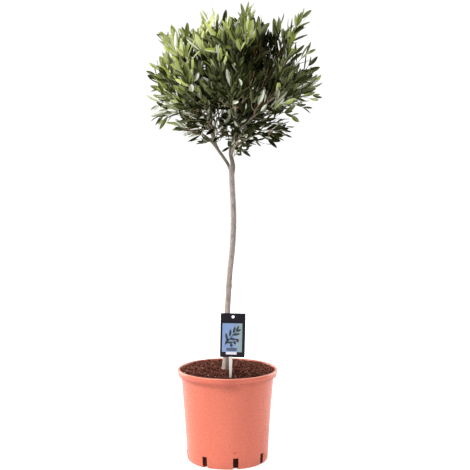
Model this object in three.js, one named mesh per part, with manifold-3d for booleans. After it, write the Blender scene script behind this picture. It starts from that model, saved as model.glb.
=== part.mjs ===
// Potted olive tree: a young olive grown as a standard, with a bare stem and a round crown,
// in a terracotta coloured nursery pot of compost with a picture label.
// Millimetres, +Z up. The origin is the centre of the pot's flat underside, and the front is -Y.
import * as THREE from "three";
import { mergeVertices } from "three/addons/utils/BufferGeometryUtils.js";
import Module from "manifold-3d";

const wasm = await Module();
wasm.setup();

// Driving dimensions
const GAP = 0.3; // clearance left where one piece rests on or runs past another
const CRISP = 0.002; // the least distance kept between the corners of a mass of foliage
const POT_HEIGHT = 195;
const RIM_RADIUS = 105;
const MOUTH_RADIUS = 100.5;
const BASE_RADIUS = 84.6;
const WALL = 2.2;
const FLOOR = 3;
const LIP_HEIGHT = 14;
const BASE_FILLET = 7;
const POT_SEGMENTS = 30;
const SIDE_MIDDLE = 95; // the height at which the slightly curved side of the pot has a corner
const SLOT_COUNT = 8;
const SLOT_WIDTH = 11.3;
const SLOT_HEIGHT = 25;
const SLOT_FIRST = -78.2; // degrees from +X to the slot nearest the front
const SOIL_LEVEL = 193;
const TRUNK_RADIUS = 6.1;
const FORK_HEIGHT = 622;
const CROWN_CENTRE = new THREE.Vector3(16, 0, 800);
const CROWN_RADII = new THREE.Vector3(176, 170, 152);
const LEAF = { length: 64, width: 19, thick: 1.5, sunk: 1, widest: 0.42 };
const TWIG = { thick: 1.6, thin: 1.3 };
const SHORTEST_TWIG = 15;
const BOUGH = { thick: 3.1, thin: 2.5 };
const LEADER_THIN = 2.7;

const degrees = THREE.MathUtils.degToRad;
const lerp = THREE.MathUtils.lerp;
const vector = (x = 0, y = 0, z = 0) => new THREE.Vector3(x, y, z);
const UP = vector(0, 0, 1);

// A closed geometry as a manifold solid, with its vertices merged and its flat slivers dropped.
function toSolid(geometry) {
  const bare = geometry.clone();
  bare.deleteAttribute("normal");
  bare.deleteAttribute("uv");
  const merged = mergeVertices(bare, 1e-4);
  const corners = merged.index.array;
  const kept = [];
  for (let i = 0; i < corners.length; i += 3) {
    const [a, b, c] = [corners[i], corners[i + 1], corners[i + 2]];
    if (a !== b && b !== c && c !== a) kept.push(a, b, c);
  }
  const vertProperties = Float32Array.from(merged.attributes.position.array);
  return new wasm.Manifold(
    new wasm.Mesh({ numProp: 3, vertProperties, triVerts: Uint32Array.from(kept) }),
  );
}

function fromSolid(solid) {
  const mesh = solid.getMesh();
  const geometry = new THREE.BufferGeometry();
  geometry.setAttribute("position", new THREE.BufferAttribute(mesh.vertProperties, 3));
  geometry.setIndex(new THREE.BufferAttribute(mesh.triVerts, 1));
  return geometry;
}

// The largest body of a solid, as a geometry: scraps and sealed hollows are left behind.
function toGeometry(solid) {
  const bodies = solid.decompose().sort((a, b) => b.volume() - a.volume());
  const geometry = fromSolid(bodies[0]);
  geometry.computeVertexNormals();
  return geometry;
}

// True where no two corners of a solid lie so near each other that rounding could merge them.
function isCrisp(solid) {
  const geometry = fromSolid(solid);
  const merged = mergeVertices(geometry, CRISP);
  return merged.attributes.position.count === geometry.attributes.position.count;
}

function finish(color, roughness, metalness = 0) {
  return new THREE.MeshStandardMaterial({ color, roughness, metalness });
}

const FINISHES = {
  pot: finish(0xd9785c, 0.45),
  soil: finish(0x4a3026, 0.95),
  bark: finish(0x9c9082, 0.85),
  twigBark: finish(0x8d8468, 0.8),
  leaf: finish(0x5f7338, 0.5),
  label: finish(0x3a3a48, 0.35),
};

function piece(name, geometry, material) {
  const mesh = new THREE.Mesh(geometry, material);
  mesh.name = name;
  return mesh;
}

// Numbers from 0 to 1 that follow only from the seed.
function randomStream(seed) {
  let state = seed >>> 0;
  return () => {
    state = (state + 0x6d2b79f5) >>> 0;
    let t = Math.imul(state ^ (state >>> 15), state | 1);
    t ^= t + Math.imul(t ^ (t >>> 7), t | 61);
    return ((t ^ (t >>> 14)) >>> 0) / 4294967296;
  };
}

// A round limb: a cylinder bent along a curve, its radius a function of the share of the way.
// lobe(angle, share) scales the radius round the section, as a root flare needs.
function limb(curve, radiusAt, sides, steps, lobe = () => 1) {
  const geometry = new THREE.CylinderGeometry(1, 1, 1, sides, steps);
  const frames = curve.computeFrenetFrames(steps, false);
  const points = curve.getSpacedPoints(steps);
  const position = geometry.attributes.position;
  for (let i = 0; i < position.count; i++) {
    const share = position.getY(i) + 0.5;
    const step = Math.round(share * steps);
    const [x, z] = [position.getX(i), position.getZ(i)];
    const radius = radiusAt(share) * lobe(Math.atan2(z, x), share);
    const place = points[step]
      .clone()
      .addScaledVector(frames.normals[step], x * radius)
      .addScaledVector(frames.binormals[step], -z * radius);
    position.setXYZ(i, place.x, place.y, place.z);
  }
  return geometry;
}

// The pot: one turned profile from the axis out along the underside, up the wall, over the rolled
// rim and back down the inside to the axis, with the drainage slots cut through its foot.
function wallRadius(height) {
  const share = height / POT_HEIGHT;
  return BASE_RADIUS + 10.1 * share + 4 * share * share;
}

function potGeometry() {
  const profile = [];
  const add = (radius, height) => profile.push(new THREE.Vector2(radius, height));
  const foot = { inner: 18, outer: 62, raised: 1.6, slope: 2 };
  add(0, 0);
  add(foot.inner, 0);
  add(foot.inner + foot.slope, foot.raised);
  add(foot.outer, foot.raised);
  add(foot.outer + foot.slope, 0);
  for (const turn of [0, 45, 90]) {
    const angle = degrees(turn - 90);
    add(
      wallRadius(BASE_FILLET) - BASE_FILLET + BASE_FILLET * Math.cos(angle),
      BASE_FILLET + BASE_FILLET * Math.sin(angle),
    );
  }
  const lipFoot = POT_HEIGHT - LIP_HEIGHT;
  const grooveTop = POT_HEIGHT - 4;
  add(wallRadius(SIDE_MIDDLE), SIDE_MIDDLE);
  add(wallRadius(grooveTop), grooveTop);
  add(RIM_RADIUS - WALL, grooveTop);
  add(RIM_RADIUS - WALL - 0.6, lipFoot);
  add(RIM_RADIUS - 0.6, lipFoot);
  add(RIM_RADIUS, POT_HEIGHT - 3);
  add(RIM_RADIUS - 1.8, POT_HEIGHT);
  add(MOUTH_RADIUS, POT_HEIGHT);
  add(wallRadius(grooveTop) - WALL, grooveTop - 3);
  add(wallRadius(SIDE_MIDDLE) - WALL, SIDE_MIDDLE);
  add(wallRadius(BASE_FILLET) - WALL, BASE_FILLET + 1);
  add(wallRadius(BASE_FILLET) - WALL - 5, FLOOR);
  add(0, FLOOR);
  const turned = new THREE.LatheGeometry(profile, POT_SEGMENTS).rotateX(Math.PI / 2);
  let solid = toSolid(turned);
  for (let i = 0; i < SLOT_COUNT; i++) {
    const cutter = new THREE.BoxGeometry(30, SLOT_WIDTH, 2 * SLOT_HEIGHT)
      .translate(BASE_RADIUS, 0, 0)
      .rotateZ(degrees(SLOT_FIRST + (i * 360) / SLOT_COUNT));
    solid = solid.subtract(toSolid(cutter));
  }
  return toGeometry(solid);
}

// The compost: a turned plug that keeps GAP to the pot, with an uneven top between a level
// patch under the trunk and the wall, and a slit where the label's stem goes in.
function soilGeometry(slit) {
  const topRings = [0, TRUNK_RADIUS * 2.2, 48, 82];
  const side = [
    [wallRadius(SOIL_LEVEL - 3) - WALL - GAP - 0.8, SOIL_LEVEL - 3],
    [wallRadius(SIDE_MIDDLE) - WALL - GAP - 0.6, SIDE_MIDDLE],
    [wallRadius(BASE_FILLET) - WALL - GAP - 0.3, BASE_FILLET + 1.5],
    [wallRadius(BASE_FILLET) - WALL - 5.5 - GAP, FLOOR + GAP],
    [0, FLOOR + GAP],
  ];
  const profile = [...topRings.map((r) => [r, SOIL_LEVEL]), ...side]
    .reverse()
    .map(([r, z]) => new THREE.Vector2(r, z));
  const geometry = new THREE.LatheGeometry(profile, 24).rotateX(Math.PI / 2);
  const position = geometry.attributes.position;
  for (let i = 0; i < position.count; i++) {
    const [x, y, z] = [position.getX(i), position.getY(i), position.getZ(i)];
    if (z > SOIL_LEVEL - 0.5 && Math.hypot(x, y) > TRUNK_RADIUS * 2.3)
      position.setZ(i, z + soilHeave(x, y));
  }
  return toGeometry(toSolid(geometry).subtract(slit));
}

// How far the compost rises or sinks from its level at a place.
function soilHeave(x, y) {
  return 1.3 * Math.sin(x / 11 + 1) * Math.cos(y / 13) + 0.9 * Math.sin((x + y) / 7);
}

// The label: one flat plastic moulding, a card with a hanging hole over a pointed stem.
const LABEL = {
  width: 50.5,
  height: 90.5,
  corner: 2,
  thick: 1,
  bottom: 236.4,
  x: 10.2,
  y: -85,
  lean: 1.2,
  holeDrop: 7.5,
  holeRadius: 2.8,
  stemWidth: 7,
  stemOffset: -2.9,
  stemLength: 112,
  pointLength: 26,
};

// The stem's outline, read from its right shoulder down to the point and back up.
function stemPoints(room = 0) {
  const { stemWidth, stemOffset, stemLength, pointLength } = LABEL;
  const half = stemWidth / 2 + room;
  const [shoulder, point] = [pointLength - stemLength, -stemLength - 3 * room];
  return [
    [stemOffset + half, 0],
    [stemOffset + half - 0.6, shoulder],
    [stemOffset, point],
    [stemOffset - half + 0.6, shoulder],
    [stemOffset - half, 0],
  ];
}

function labelGeometry() {
  const { width, height, corner: r, thick, holeRadius, holeDrop } = LABEL;
  const w = width / 2;
  const outline = new THREE.Shape();
  outline.moveTo(-w + r, 0);
  for (const [x, y] of stemPoints().reverse()) outline.lineTo(x, y);
  outline.lineTo(w - r, 0);
  outline.absarc(w - r, r, r, -Math.PI / 2, 0);
  outline.absarc(w - r, height - r, r, 0, Math.PI / 2);
  outline.absarc(-w + r, height - r, r, Math.PI / 2, Math.PI);
  outline.absarc(-w + r, r, r, Math.PI, Math.PI * 1.5);
  outline.holes.push(new THREE.Path().absarc(0, height - holeDrop, holeRadius, 0, Math.PI * 2));
  const options = { depth: thick, bevelEnabled: false, curveSegments: 4 };
  return new THREE.ExtrudeGeometry(outline, options).rotateX(Math.PI / 2);
}

// The slit in the compost that the stem stands in, with GAP left all round it.
function slitGeometry() {
  const outline = new THREE.Shape(stemPoints(GAP).map(([x, y]) => new THREE.Vector2(x, y)));
  const options = { depth: LABEL.thick + 2 * GAP, bevelEnabled: false };
  return new THREE.ExtrudeGeometry(outline, options).rotateX(Math.PI / 2).translate(0, GAP, 0);
}

const label = piece("plant_label", toGeometry(toSolid(labelGeometry())), FINISHES.label);
label.position.set(LABEL.x, LABEL.y, LABEL.bottom);
label.rotation.y = degrees(LABEL.lean);
label.updateMatrix();
const slit = toSolid(slitGeometry().applyMatrix4(label.matrix));

// The trunk: its centreline leans right, bows right at mid height and comes back to the fork.
const trunkLine = new THREE.CatmullRomCurve3([
  vector(-5, 0, SOIL_LEVEL + GAP),
  vector(-4, 0, 203),
  vector(-2, 1, 250),
  vector(1, 2, 335),
  vector(5, 2, 398),
  vector(10, 1, 445),
  vector(12.5, 0, 488),
  vector(12.5, -1, 530),
  vector(10, -1, 578),
  vector(8, 0, FORK_HEIGHT),
]);

function trunkRadius(share) {
  const flare = 3.2 * Math.exp(-share / 0.022);
  const knot = 0.7 * Math.exp(-(((share - 0.41) / 0.012) ** 2));
  return lerp(TRUNK_RADIUS, TRUNK_RADIUS - 0.7, share) + flare + knot;
}

function trunkLobe(angle, share) {
  return 1 + 0.16 * Math.exp(-share / 0.03) * Math.cos(4 * angle + 0.6);
}

function trunkGeometry() {
  return limb(trunkLine, trunkRadius, 10, 18, trunkLobe);
}

// The trunk with its foot cut level with the ground at a height.
function cutLevel(geometry, height) {
  const size = 80;
  const ground = new THREE.BoxGeometry(size, size, size).translate(0, 0, height - size / 2);
  return toSolid(geometry).subtract(toSolid(ground));
}

// The crown. Each bough leaves its parent limb at a height and ends where it enters the mass of
// foliage that it carries. turn and rise, in degrees, are the way from the crown's centre to the
// mass's furthest tip (turn from +X towards the back), reach its share of the crown's radius, and
// pairs the number of pairs of twigs on its stem. The boughs that the front shows have via points.
const CROWN = [
  { name: "top", turn: -40, rise: 80, reach: 1, pairs: 4 },
  { name: "upper_left", turn: 177, rise: 40, reach: 1.06, pairs: 4 },
  { name: "top_left", parent: "upper_left", height: 708, turn: 170, rise: 71, reach: 0.97, pairs: 4 },
  { name: "upper_right", parent: "top", height: 704, turn: -2, rise: 47, reach: 1.14, pairs: 4,
    via: [vector(38, -4, 730), vector(56, -5, 756)] },
  { name: "upper_front", parent: "top", height: 722, turn: -90, rise: 38, reach: 0.98, pairs: 4 },
  { name: "upper_back", parent: "top", height: 714, turn: 88, rise: 40, reach: 0.98, pairs: 4 },
  { name: "left", parent: "upper_left", height: 682, turn: 181, rise: 4, reach: 1, pairs: 5 },
  { name: "right", parent: "top", height: 690, turn: 2, rise: 2, reach: 1, pairs: 4 },
  { name: "front", parent: "top", height: 696, turn: -92, rise: 0, reach: 0.98, pairs: 5 },
  { name: "back", parent: "top", height: 702, turn: 90, rise: 2, reach: 0.98, pairs: 5 },
  { name: "front_left", parent: "upper_left", height: 668, turn: -132, rise: 2, reach: 0.98, pairs: 4 },
  { name: "front_right", parent: "top", height: 676, turn: -48, rise: 0, reach: 0.98, pairs: 4 },
  { name: "back_left", parent: "upper_left", height: 674, turn: 132, rise: 2, reach: 0.98, pairs: 4 },
  { name: "back_right", parent: "top", height: 682, turn: 48, rise: 0, reach: 0.98, pairs: 4 },
  { name: "low_left", parent: "upper_left", height: 656, turn: 186, rise: -35, reach: 1.04, pairs: 5,
    via: [vector(-33, 4, 670), vector(-47, 5, 681)] },
  { name: "low_front", parent: "top", height: 640, turn: -80, rise: -36, reach: 1, pairs: 5 },
  { name: "low_back", parent: "top", height: 646, turn: 80, rise: -36, reach: 1, pairs: 5 },
  { name: "low_right", parent: "top", height: 652, turn: -4, rise: -49, reach: 1.06, pairs: 5,
    via: [vector(38, -3, 674), vector(54, -4, 682)] },
];

// A point of the crown's outer surface in a direction, at a share of its radius.
function crownPoint(turn, rise, share) {
  const [a, e] = [degrees(turn), degrees(rise)];
  const way = vector(Math.cos(a) * Math.cos(e), Math.sin(a) * Math.cos(e), Math.sin(e));
  return way.multiply(CROWN_RADII).multiplyScalar(share).add(CROWN_CENTRE);
}

// How far out a point lies, as a share of the crown's radius.
function crownShare(point) {
  return point.clone().sub(CROWN_CENTRE).divide(CROWN_RADII).length();
}

// The two leaders rise from the fork, and carry the masses that have no parent named. The one to
// the right is the stouter.
const LEADERS = {
  top: {
    thick: 4.6,
    points: [
      vector(11.8, -0.5, FORK_HEIGHT - 4),
      vector(7, -1.5, 647),
      vector(13, -3, 676),
      vector(21, -4, 704),
      vector(17, -4, 740),
      vector(18, -5, 768),
    ],
  },
  upper_left: {
    thick: 3.2,
    points: [
      vector(3.6, 0.5, FORK_HEIGHT - 4),
      vector(-8, 2, 637),
      vector(-22, 4, 658),
      vector(-32, 5, 704),
      vector(-46, 5, 744),
    ],
  },
};

// The point of a limb's centreline at a height.
function atHeight(curve, height) {
  const points = curve.getSpacedPoints(200);
  return points.reduce((a, b) => (Math.abs(b.z - height) < Math.abs(a.z - height) ? b : a));
}

const limbs = { trunk: { curve: trunkLine, radiusAt: trunkRadius, sides: 10, steps: 18 } };

for (const mass of CROWN) {
  mass.tip = crownPoint(mass.turn, mass.rise, mass.reach);
  const leader = LEADERS[mass.name];
  let points = leader?.points;
  if (!leader) {
    const start = atHeight(limbs[mass.parent].curve, mass.height);
    const entry = start.clone().lerp(mass.tip, 0.32).addScaledVector(UP, 5);
    const middle = start.clone().lerp(entry, 0.5).addScaledVector(UP, 4);
    points = [start, ...(mass.via ?? [middle, entry])];
  }
  const curve = new THREE.CatmullRomCurve3(points);
  const { thick, thin } = leader ? { thick: leader.thick, thin: LEADER_THIN } : BOUGH;
  const radiusAt = (share) => lerp(thick, thin, share);
  limbs[mass.name] = { curve, radiusAt, sides: 5, steps: leader ? 7 : 3, lastRadius: thin };
}

function limbGeometry({ curve, radiusAt, sides, steps }, grow = 0) {
  return limb(curve, (share) => radiusAt(share) + grow, sides, steps);
}

// Every limb as a solid with room left round it, for twigs and leaves to keep clear of.
for (const own of Object.values(limbs)) {
  own.keepClear = toSolid(limbGeometry(own, GAP));
  own.box = own.keepClear.boundingBox();
}

function boxesMeet(a, b) {
  return [0, 1, 2].every((axis) => a.min[axis] < b.max[axis] && b.min[axis] < a.max[axis]);
}

function clearOfLimbs(solid) {
  const box = solid.boundingBox();
  return Object.values(limbs).every(
    (own) => !boxesMeet(box, own.box) || solid.intersect(own.keepClear).isEmpty(),
  );
}

// Each mass's stem runs on from its bough, GAP beyond the end, to about a leaf's length from the
// mass's tip.
for (const mass of CROWN) {
  const aim = limbs[mass.name].curve.getTangent(1);
  const root = limbs[mass.name].curve.getPoint(1).addScaledVector(aim, GAP);
  const full = root.distanceTo(mass.tip);
  const length = Math.max(full - 0.9 * LEAF.length, 0.45 * full);
  const end = root.clone().lerp(mass.tip, length / full);
  const bow = root.clone().addScaledVector(aim, 0.45 * length);
  mass.stem = new THREE.QuadraticBezierCurve3(root, bow, end);
  mass.axis = new THREE.Line3(mass.stem.getPoint(0), mass.tip);
}

function distanceToAxis(point, mass) {
  return mass.axis.closestPointToPoint(point, true, vector(0, 0, 0)).distanceTo(point);
}

// True where a point lies in a mass's own space: nearer to its axis than to any other mass's.
function inSpace(point, mass, margin) {
  const own = distanceToAxis(point, mass);
  return CROWN.every((other) => other === mass || distanceToAxis(point, other) > own + margin);
}

// A leaf: a three-sided double pyramid drawn out to a blade, with its poles as root and tip and
// its two sides and its raised midrib a little below the middle. It starts behind the twig's
// centre, so that its root is sunk well in.
function leafGeometry(base, way, face, size) {
  const long = way.clone().normalize();
  const across = long.clone().cross(face).normalize();
  const up = long.clone().cross(across);
  const geometry = new THREE.SphereGeometry(1, 3, 2);
  const position = geometry.attributes.position;
  for (let i = 0; i < position.count; i++) {
    const [x, y, z] = [position.getX(i), position.getY(i), position.getZ(i)];
    const along = y > 0.5 ? 1 : y < -0.5 ? 0 : LEAF.widest;
    const onSide = Math.abs(z) > 0.5;
    const place = base
      .clone()
      .addScaledVector(long, along * (LEAF.length * size + LEAF.sunk) - LEAF.sunk)
      .addScaledVector(across, onSide ? (Math.sign(z) * LEAF.width * size) / 2 : 0)
      .addScaledVector(up, onSide || along !== LEAF.widest ? 0 : Math.sign(x) * LEAF.thick);
    position.setXYZ(i, place.x, place.y, place.z);
  }
  return geometry;
}

// A direction square to another, turned round it by an angle.
function sideways(way, angle) {
  const helper = Math.abs(way.z) > 0.9 ? vector(1, 0, 0) : UP;
  const first = way.clone().cross(helper).normalize();
  return first.applyAxisAngle(way, angle);
}

// The rule that every mass grows by. Pairs of twigs leave the stem on opposite sides, each pair a
// quarter turn round from the last, and lean up and outwards. A twig stops at the edge of the
// mass's space, and one left too short is skipped.
function growTwigs(mass, index) {
  const random = randomStream(1000 + index);
  const twigs = [];
  for (let k = 0; k < mass.pairs; k++) {
    const share = lerp(0.08, 0.9, k / (mass.pairs - 1));
    const start = mass.stem.getPoint(share);
    const along = mass.stem.getTangent(share);
    const outward = start.clone().sub(CROWN_CENTRE).normalize();
    const quarter = k * (Math.PI / 2) + (random() - 0.5) * 0.8;
    for (const half of [0, Math.PI]) {
      const open = degrees(lerp(64, 44, share) + (random() - 0.5) * 16);
      const out = sideways(along, quarter + half);
      const way = along
        .clone()
        .multiplyScalar(Math.cos(open))
        .addScaledVector(out, Math.sin(open))
        .addScaledVector(UP, 0.3)
        .addScaledVector(outward, 0.15)
        .normalize();
      const full = lerp(110, 60, share) * (0.8 + 0.4 * random());
      const edge = Math.max(0.78 + 0.14 * random(), crownShare(start) + 0.05);
      const twig = { start, way, length: 0, turn: random() * Math.PI };
      twig.length = roomFor(mass, twig, full, edge);
      if (twig.length > SHORTEST_TWIG) twigs.push(twig);
    }
  }
  return twigs;
}

// The longest length, up to full, at which a twig stays in the crown and its mass's space.
function roomFor(mass, twig, full, edge) {
  const trim = 6;
  for (let length = full; length > SHORTEST_TWIG; length -= trim) {
    const shares = [0.2, 0.4, 0.6, 0.8, 1];
    const points = shares.map((s) => twig.start.clone().addScaledVector(twig.way, s * length));
    const inside = points.every((p) => crownShare(p) < edge && inSpace(p, mass, 5));
    if (inside && clearOfLimbs(twigSolid({ ...twig, length }))) return length;
  }
  return 0;
}

// A twig is a straight three-sided taper, one of whose faces looks along its turn.
function twigSolid({ start, way, length, turn }) {
  const geometry = new THREE.CylinderGeometry(TWIG.thin, TWIG.thick, length, 3);
  geometry.translate(0, length / 2, 0).rotateY(Math.PI);
  const side = sideways(way, turn);
  const basis = new THREE.Matrix4().makeBasis(way.clone().cross(side), way, side);
  return toSolid(geometry.applyMatrix4(basis.setPosition(start)));
}

// The leaves of a twig: opposite pairs, each square to the last, and one leaf at the tip.
function twigLeaves({ start, way, length, turn }, random) {
  const leaves = [];
  const pairs = length > 44 ? [0.4, 0.76] : [0.6];
  pairs.forEach((share, k) => {
    for (const half of [0, Math.PI]) {
      const open = degrees(42 + 14 * (random() - 0.5));
      const out = sideways(way, turn + half + k * (Math.PI / 2) + (half ? 0.22 : 0));
      leaves.push({
        base: start.clone().addScaledVector(way, share * length),
        way: way.clone().multiplyScalar(Math.cos(open)).addScaledVector(out, Math.sin(open)),
        face: way,
        size: 0.85 + 0.25 * random(),
      });
    }
  });
  const nod = sideways(way, turn + 2.2 + random());
  leaves.push({
    base: start.clone().addScaledVector(way, length - 2.5).addScaledVector(nod, -0.25),
    way: way.clone().addScaledVector(nod, 0.14).normalize(),
    face: nod,
    size: 0.9 + 0.25 * random(),
  });
  return leaves;
}

// A leaf fits if it keeps to the mass's space and the crown, and clear of every limb.
function leafFits(geometry, solid, mass) {
  const position = geometry.attributes.position;
  const points = [];
  for (let i = 0; i < position.count; i += 3) {
    const face = [0, 1, 2].map((k) => vector().fromBufferAttribute(position, i + k));
    points.push(...face);
    face.forEach((corner, k) => points.push(corner.clone().lerp(face[(k + 1) % 3], 0.5)));
  }
  return (
    points.every((p) => crownShare(p) < mass.reach + 0.05 && inSpace(p, mass, 1.2)) && clearOfLimbs(solid)
  );
}

// True where a blade shares more than a limit of cubic millimetres with any of the solids.
function crosses(blade, solids, limit) {
  return solids.some((other) => blade.intersect(other).volume() > limit);
}

// The leaf as it fits on its twig among the other solids: at full size, or folded towards the
// mass's axis, or else smaller, and not at all where none of these keeps it to its space.
function fittingBlade(leaf, mass, twig, others) {
  const axis = mass.axis.delta(vector()).normalize();
  for (const trial of [1, 0.8, 0.62]) {
    for (const fold of [0, 0.4]) {
      const way = leaf.way.clone().lerp(axis, fold);
      const geometry = leafGeometry(leaf.base, way, leaf.face, trial * leaf.size);
      const blade = toSolid(geometry);
      if (!leafFits(geometry, blade, mass)) continue;
      if (!crosses(blade, others, 0.04) && !crosses(blade, [twig], 1)) return blade;
    }
  }
  return null;
}

// The leaves along a mass's stem: two pairs on the way, and a tuft at its end.
function stemLeaves(stem, random) {
  const leaves = [];
  for (const share of [0.3, 0.62]) {
    const [start, way] = [stem.getPoint(share), stem.getTangent(share)];
    const node = { start, way, length: 12, turn: 0.7 + 6 * share };
    leaves.push(...twigLeaves(node, random).slice(0, 2));
  }
  const end = stem.getTangent(1);
  for (const turn of [0, 1.4, 3.5, 5.6]) {
    const out = sideways(end, turn);
    const way = end.clone().addScaledVector(out, turn ? 0.5 : 0.05).normalize();
    leaves.push({ base: stem.getPoint(0.97), way, face: turn ? end : out, size: 0.95 });
  }
  return leaves;
}

// A mass joined up: its stem, each twig that can carry two leaves or more, and every leaf that
// fits. Whatever would bring two corners too near each other is left off.
function massGeometry(mass, index) {
  const random = randomStream(5000 + index);
  const stemRadius = (share) => lerp(limbs[mass.name].lastRadius, 1.9, share);
  let whole = toSolid(limb(mass.stem, stemRadius, 4, 2));
  const solids = [whole];
  const join = (solid) => {
    const grown = whole.add(solid);
    if (!isCrisp(grown)) return false;
    whole = grown;
    solids.push(solid);
    return true;
  };
  const stem = whole;
  const sprays = growTwigs(mass, index).map((twig) => ({
    twig: twigSolid(twig),
    leaves: twigLeaves(twig, random),
  }));
  for (const { twig, leaves } of [{ twig: stem, leaves: stemLeaves(mass.stem, random) }, ...sprays]) {
    const blades = [];
    for (const leaf of leaves) {
      const others = [...solids.filter((solid) => solid !== twig), ...blades];
      const blade = fittingBlade(leaf, mass, twig, others);
      if (blade) blades.push(blade);
    }
    if (twig !== stem && (blades.length < 2 || !join(twig))) continue;
    blades.forEach(join);
  }
  return toGeometry(whole);
}

// Boughs: each is cut back from the limb that it grows from, and from those named before it.
function boughGeometry(mass) {
  const own = limbs[mass.name];
  let solid = toSolid(limbGeometry(own));
  solid = solid.subtract(limbs[mass.parent ?? "trunk"].keepClear);
  for (const { name } of CROWN.slice(0, CROWN.indexOf(mass))) {
    if (boxesMeet(own.box, limbs[name].box)) solid = solid.subtract(limbs[name].keepClear);
  }
  return toGeometry(solid);
}

const tree = new THREE.Group();
tree.add(piece("trunk", toGeometry(cutLevel(trunkGeometry(), SOIL_LEVEL + GAP)), FINISHES.bark));
CROWN.forEach((mass, index) => {
  tree.add(piece("bough_" + mass.name, boughGeometry(mass), FINISHES.twigBark));
  tree.add(piece("foliage_" + mass.name, massGeometry(mass, index), FINISHES.leaf));
});

const plant = new THREE.Group();
plant.add(piece("pot", potGeometry(), FINISHES.pot));
plant.add(piece("compost", soilGeometry(slit), FINISHES.soil));
plant.add(label);
plant.add(tree);

export default plant;
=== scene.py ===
# %% [markdown]
# # A potted olive tree
#
# A young olive grown as a standard: a bare grey stem, a round crown of narrow leaves, and a plain
# terracotta coloured plastic pot of compost with a label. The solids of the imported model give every
# place and size. This lesson puts the finished surfaces over them, one kind of surface at a time.

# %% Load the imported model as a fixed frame
import math

import bpy
import numpy as np
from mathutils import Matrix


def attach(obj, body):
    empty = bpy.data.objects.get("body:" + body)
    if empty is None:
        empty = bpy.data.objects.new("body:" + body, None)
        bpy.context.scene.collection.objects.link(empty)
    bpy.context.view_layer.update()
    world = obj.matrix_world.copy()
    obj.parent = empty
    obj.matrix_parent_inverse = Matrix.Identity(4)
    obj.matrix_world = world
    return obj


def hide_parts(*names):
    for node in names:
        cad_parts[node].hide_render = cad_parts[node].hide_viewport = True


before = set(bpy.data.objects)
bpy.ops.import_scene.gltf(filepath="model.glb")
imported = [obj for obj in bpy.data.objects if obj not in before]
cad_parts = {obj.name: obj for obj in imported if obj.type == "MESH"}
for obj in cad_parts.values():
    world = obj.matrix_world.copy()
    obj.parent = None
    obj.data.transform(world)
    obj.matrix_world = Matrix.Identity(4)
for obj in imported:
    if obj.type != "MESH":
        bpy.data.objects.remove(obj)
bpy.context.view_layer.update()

MM = 0.001  # the tables below are in millimetres, as a maker would measure them

# %% [markdown]
# ## The camera
#
# A nursery's picture of a tall narrow plant is taken from far away with a long lens, a little above
# the middle of the plant and tipped slightly down. That shows the rim of the pot as a flat oval and
# keeps the stem upright.

# %% Make the camera
FOCAL_LENGTH = 98.96
CAMERA_PLACE = (0.0158, -2.66, 0.782)
CAMERA_TIP = 6.56  # how far it looks down, in degrees

camera = bpy.data.objects.new("camera", bpy.data.cameras.new("camera"))
camera.data.sensor_width = 36
camera.data.lens = FOCAL_LENGTH
camera.data.clip_end = 50
camera.location = CAMERA_PLACE
camera.rotation_euler = (math.radians(90 - CAMERA_TIP), 0, 0)
bpy.context.collection.objects.link(camera)
bpy.context.scene.camera = camera
print("camera sees", round(math.degrees(camera.data.angle), 2), "degrees")

# %% [markdown]
# ## Floor and light
#
# The plant stands on white paper under a broad soft light from the upper left, with a white room
# around it. A pale matt floor, itself lit a little so that it stays as white as the room, takes the
# soft shadow at the foot of the pot. The light that floor and room give is weaker than the white
# that they show, so the underside of the rim and the inside of the crown stay dark. Two screens
# behind the plant draw the pale edges that plastic has against a white wall.

# %% Make the floor
scene = bpy.context.scene
scene.view_settings.view_transform = "Standard"
PAPER_HALF = 4


def seen_or_given(tree, kinds, seen, given):
    """A strength that is one number where rays of some kinds look, and another for the light given."""
    path = tree.nodes.new("ShaderNodeLightPath")
    either = tree.nodes.new("ShaderNodeMath")
    either.operation = "MAXIMUM"
    for socket, kind in zip(either.inputs, kinds):
        tree.links.new(path.outputs[kind], socket)
    strength = tree.nodes.new("ShaderNodeMapRange")
    strength.inputs["To Min"].default_value = given
    strength.inputs["To Max"].default_value = seen
    tree.links.new(either.outputs["Value"], strength.inputs["Value"])
    return strength.outputs["Result"]


paper = bpy.data.materials.new("paper")
paper.use_nodes = True
shader = paper.node_tree.nodes["Principled BSDF"]
shader.inputs["Base Color"].default_value = (0.93, 0.93, 0.93, 1)
shader.inputs["Roughness"].default_value = 0.9
shader.inputs["Emission Color"].default_value = (1, 1, 1, 1)
paper.node_tree.links.new(
    seen_or_given(paper.node_tree, ("Is Camera Ray", "Is Camera Ray"), 0.75, 0.3),
    shader.inputs["Emission Strength"],
)

floor_mesh = bpy.data.meshes.new("floor")
corners = [(x * PAPER_HALF, y * PAPER_HALF, 0) for x, y in ((-1, -1), (1, -1), (1, 1), (-1, 1))]
floor_mesh.from_pydata(corners, [], [(0, 1, 2, 3)])
floor_mesh.materials.append(paper)
floor = bpy.data.objects.new("floor", floor_mesh)
bpy.context.collection.objects.link(floor)


# %% Light the room and hang the lamps
def lamp(name, place, aim, size, watts):
    """A square soft light at a place, turned to look at a point."""
    data = bpy.data.lights.new(name, "AREA")
    data.size = size
    data.energy = watts
    holder = bpy.data.objects.new(name, data)
    holder.location = place
    way = np.array(aim) - np.array(place)
    holder.rotation_euler = (
        math.acos(-way[2] / np.linalg.norm(way)),
        0,
        math.atan2(way[0], -way[1]) + math.pi,
    )
    bpy.context.collection.objects.link(holder)


world = bpy.data.worlds.new("room")
world.use_nodes = True
room = world.node_tree.nodes["Background"]
room.inputs["Color"].default_value = (1, 1, 1, 1)
world.node_tree.links.new(
    seen_or_given(world.node_tree, ("Is Camera Ray", "Is Glossy Ray"), 1.05, 0.22),
    room.inputs["Strength"],
)
scene.world = world

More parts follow.
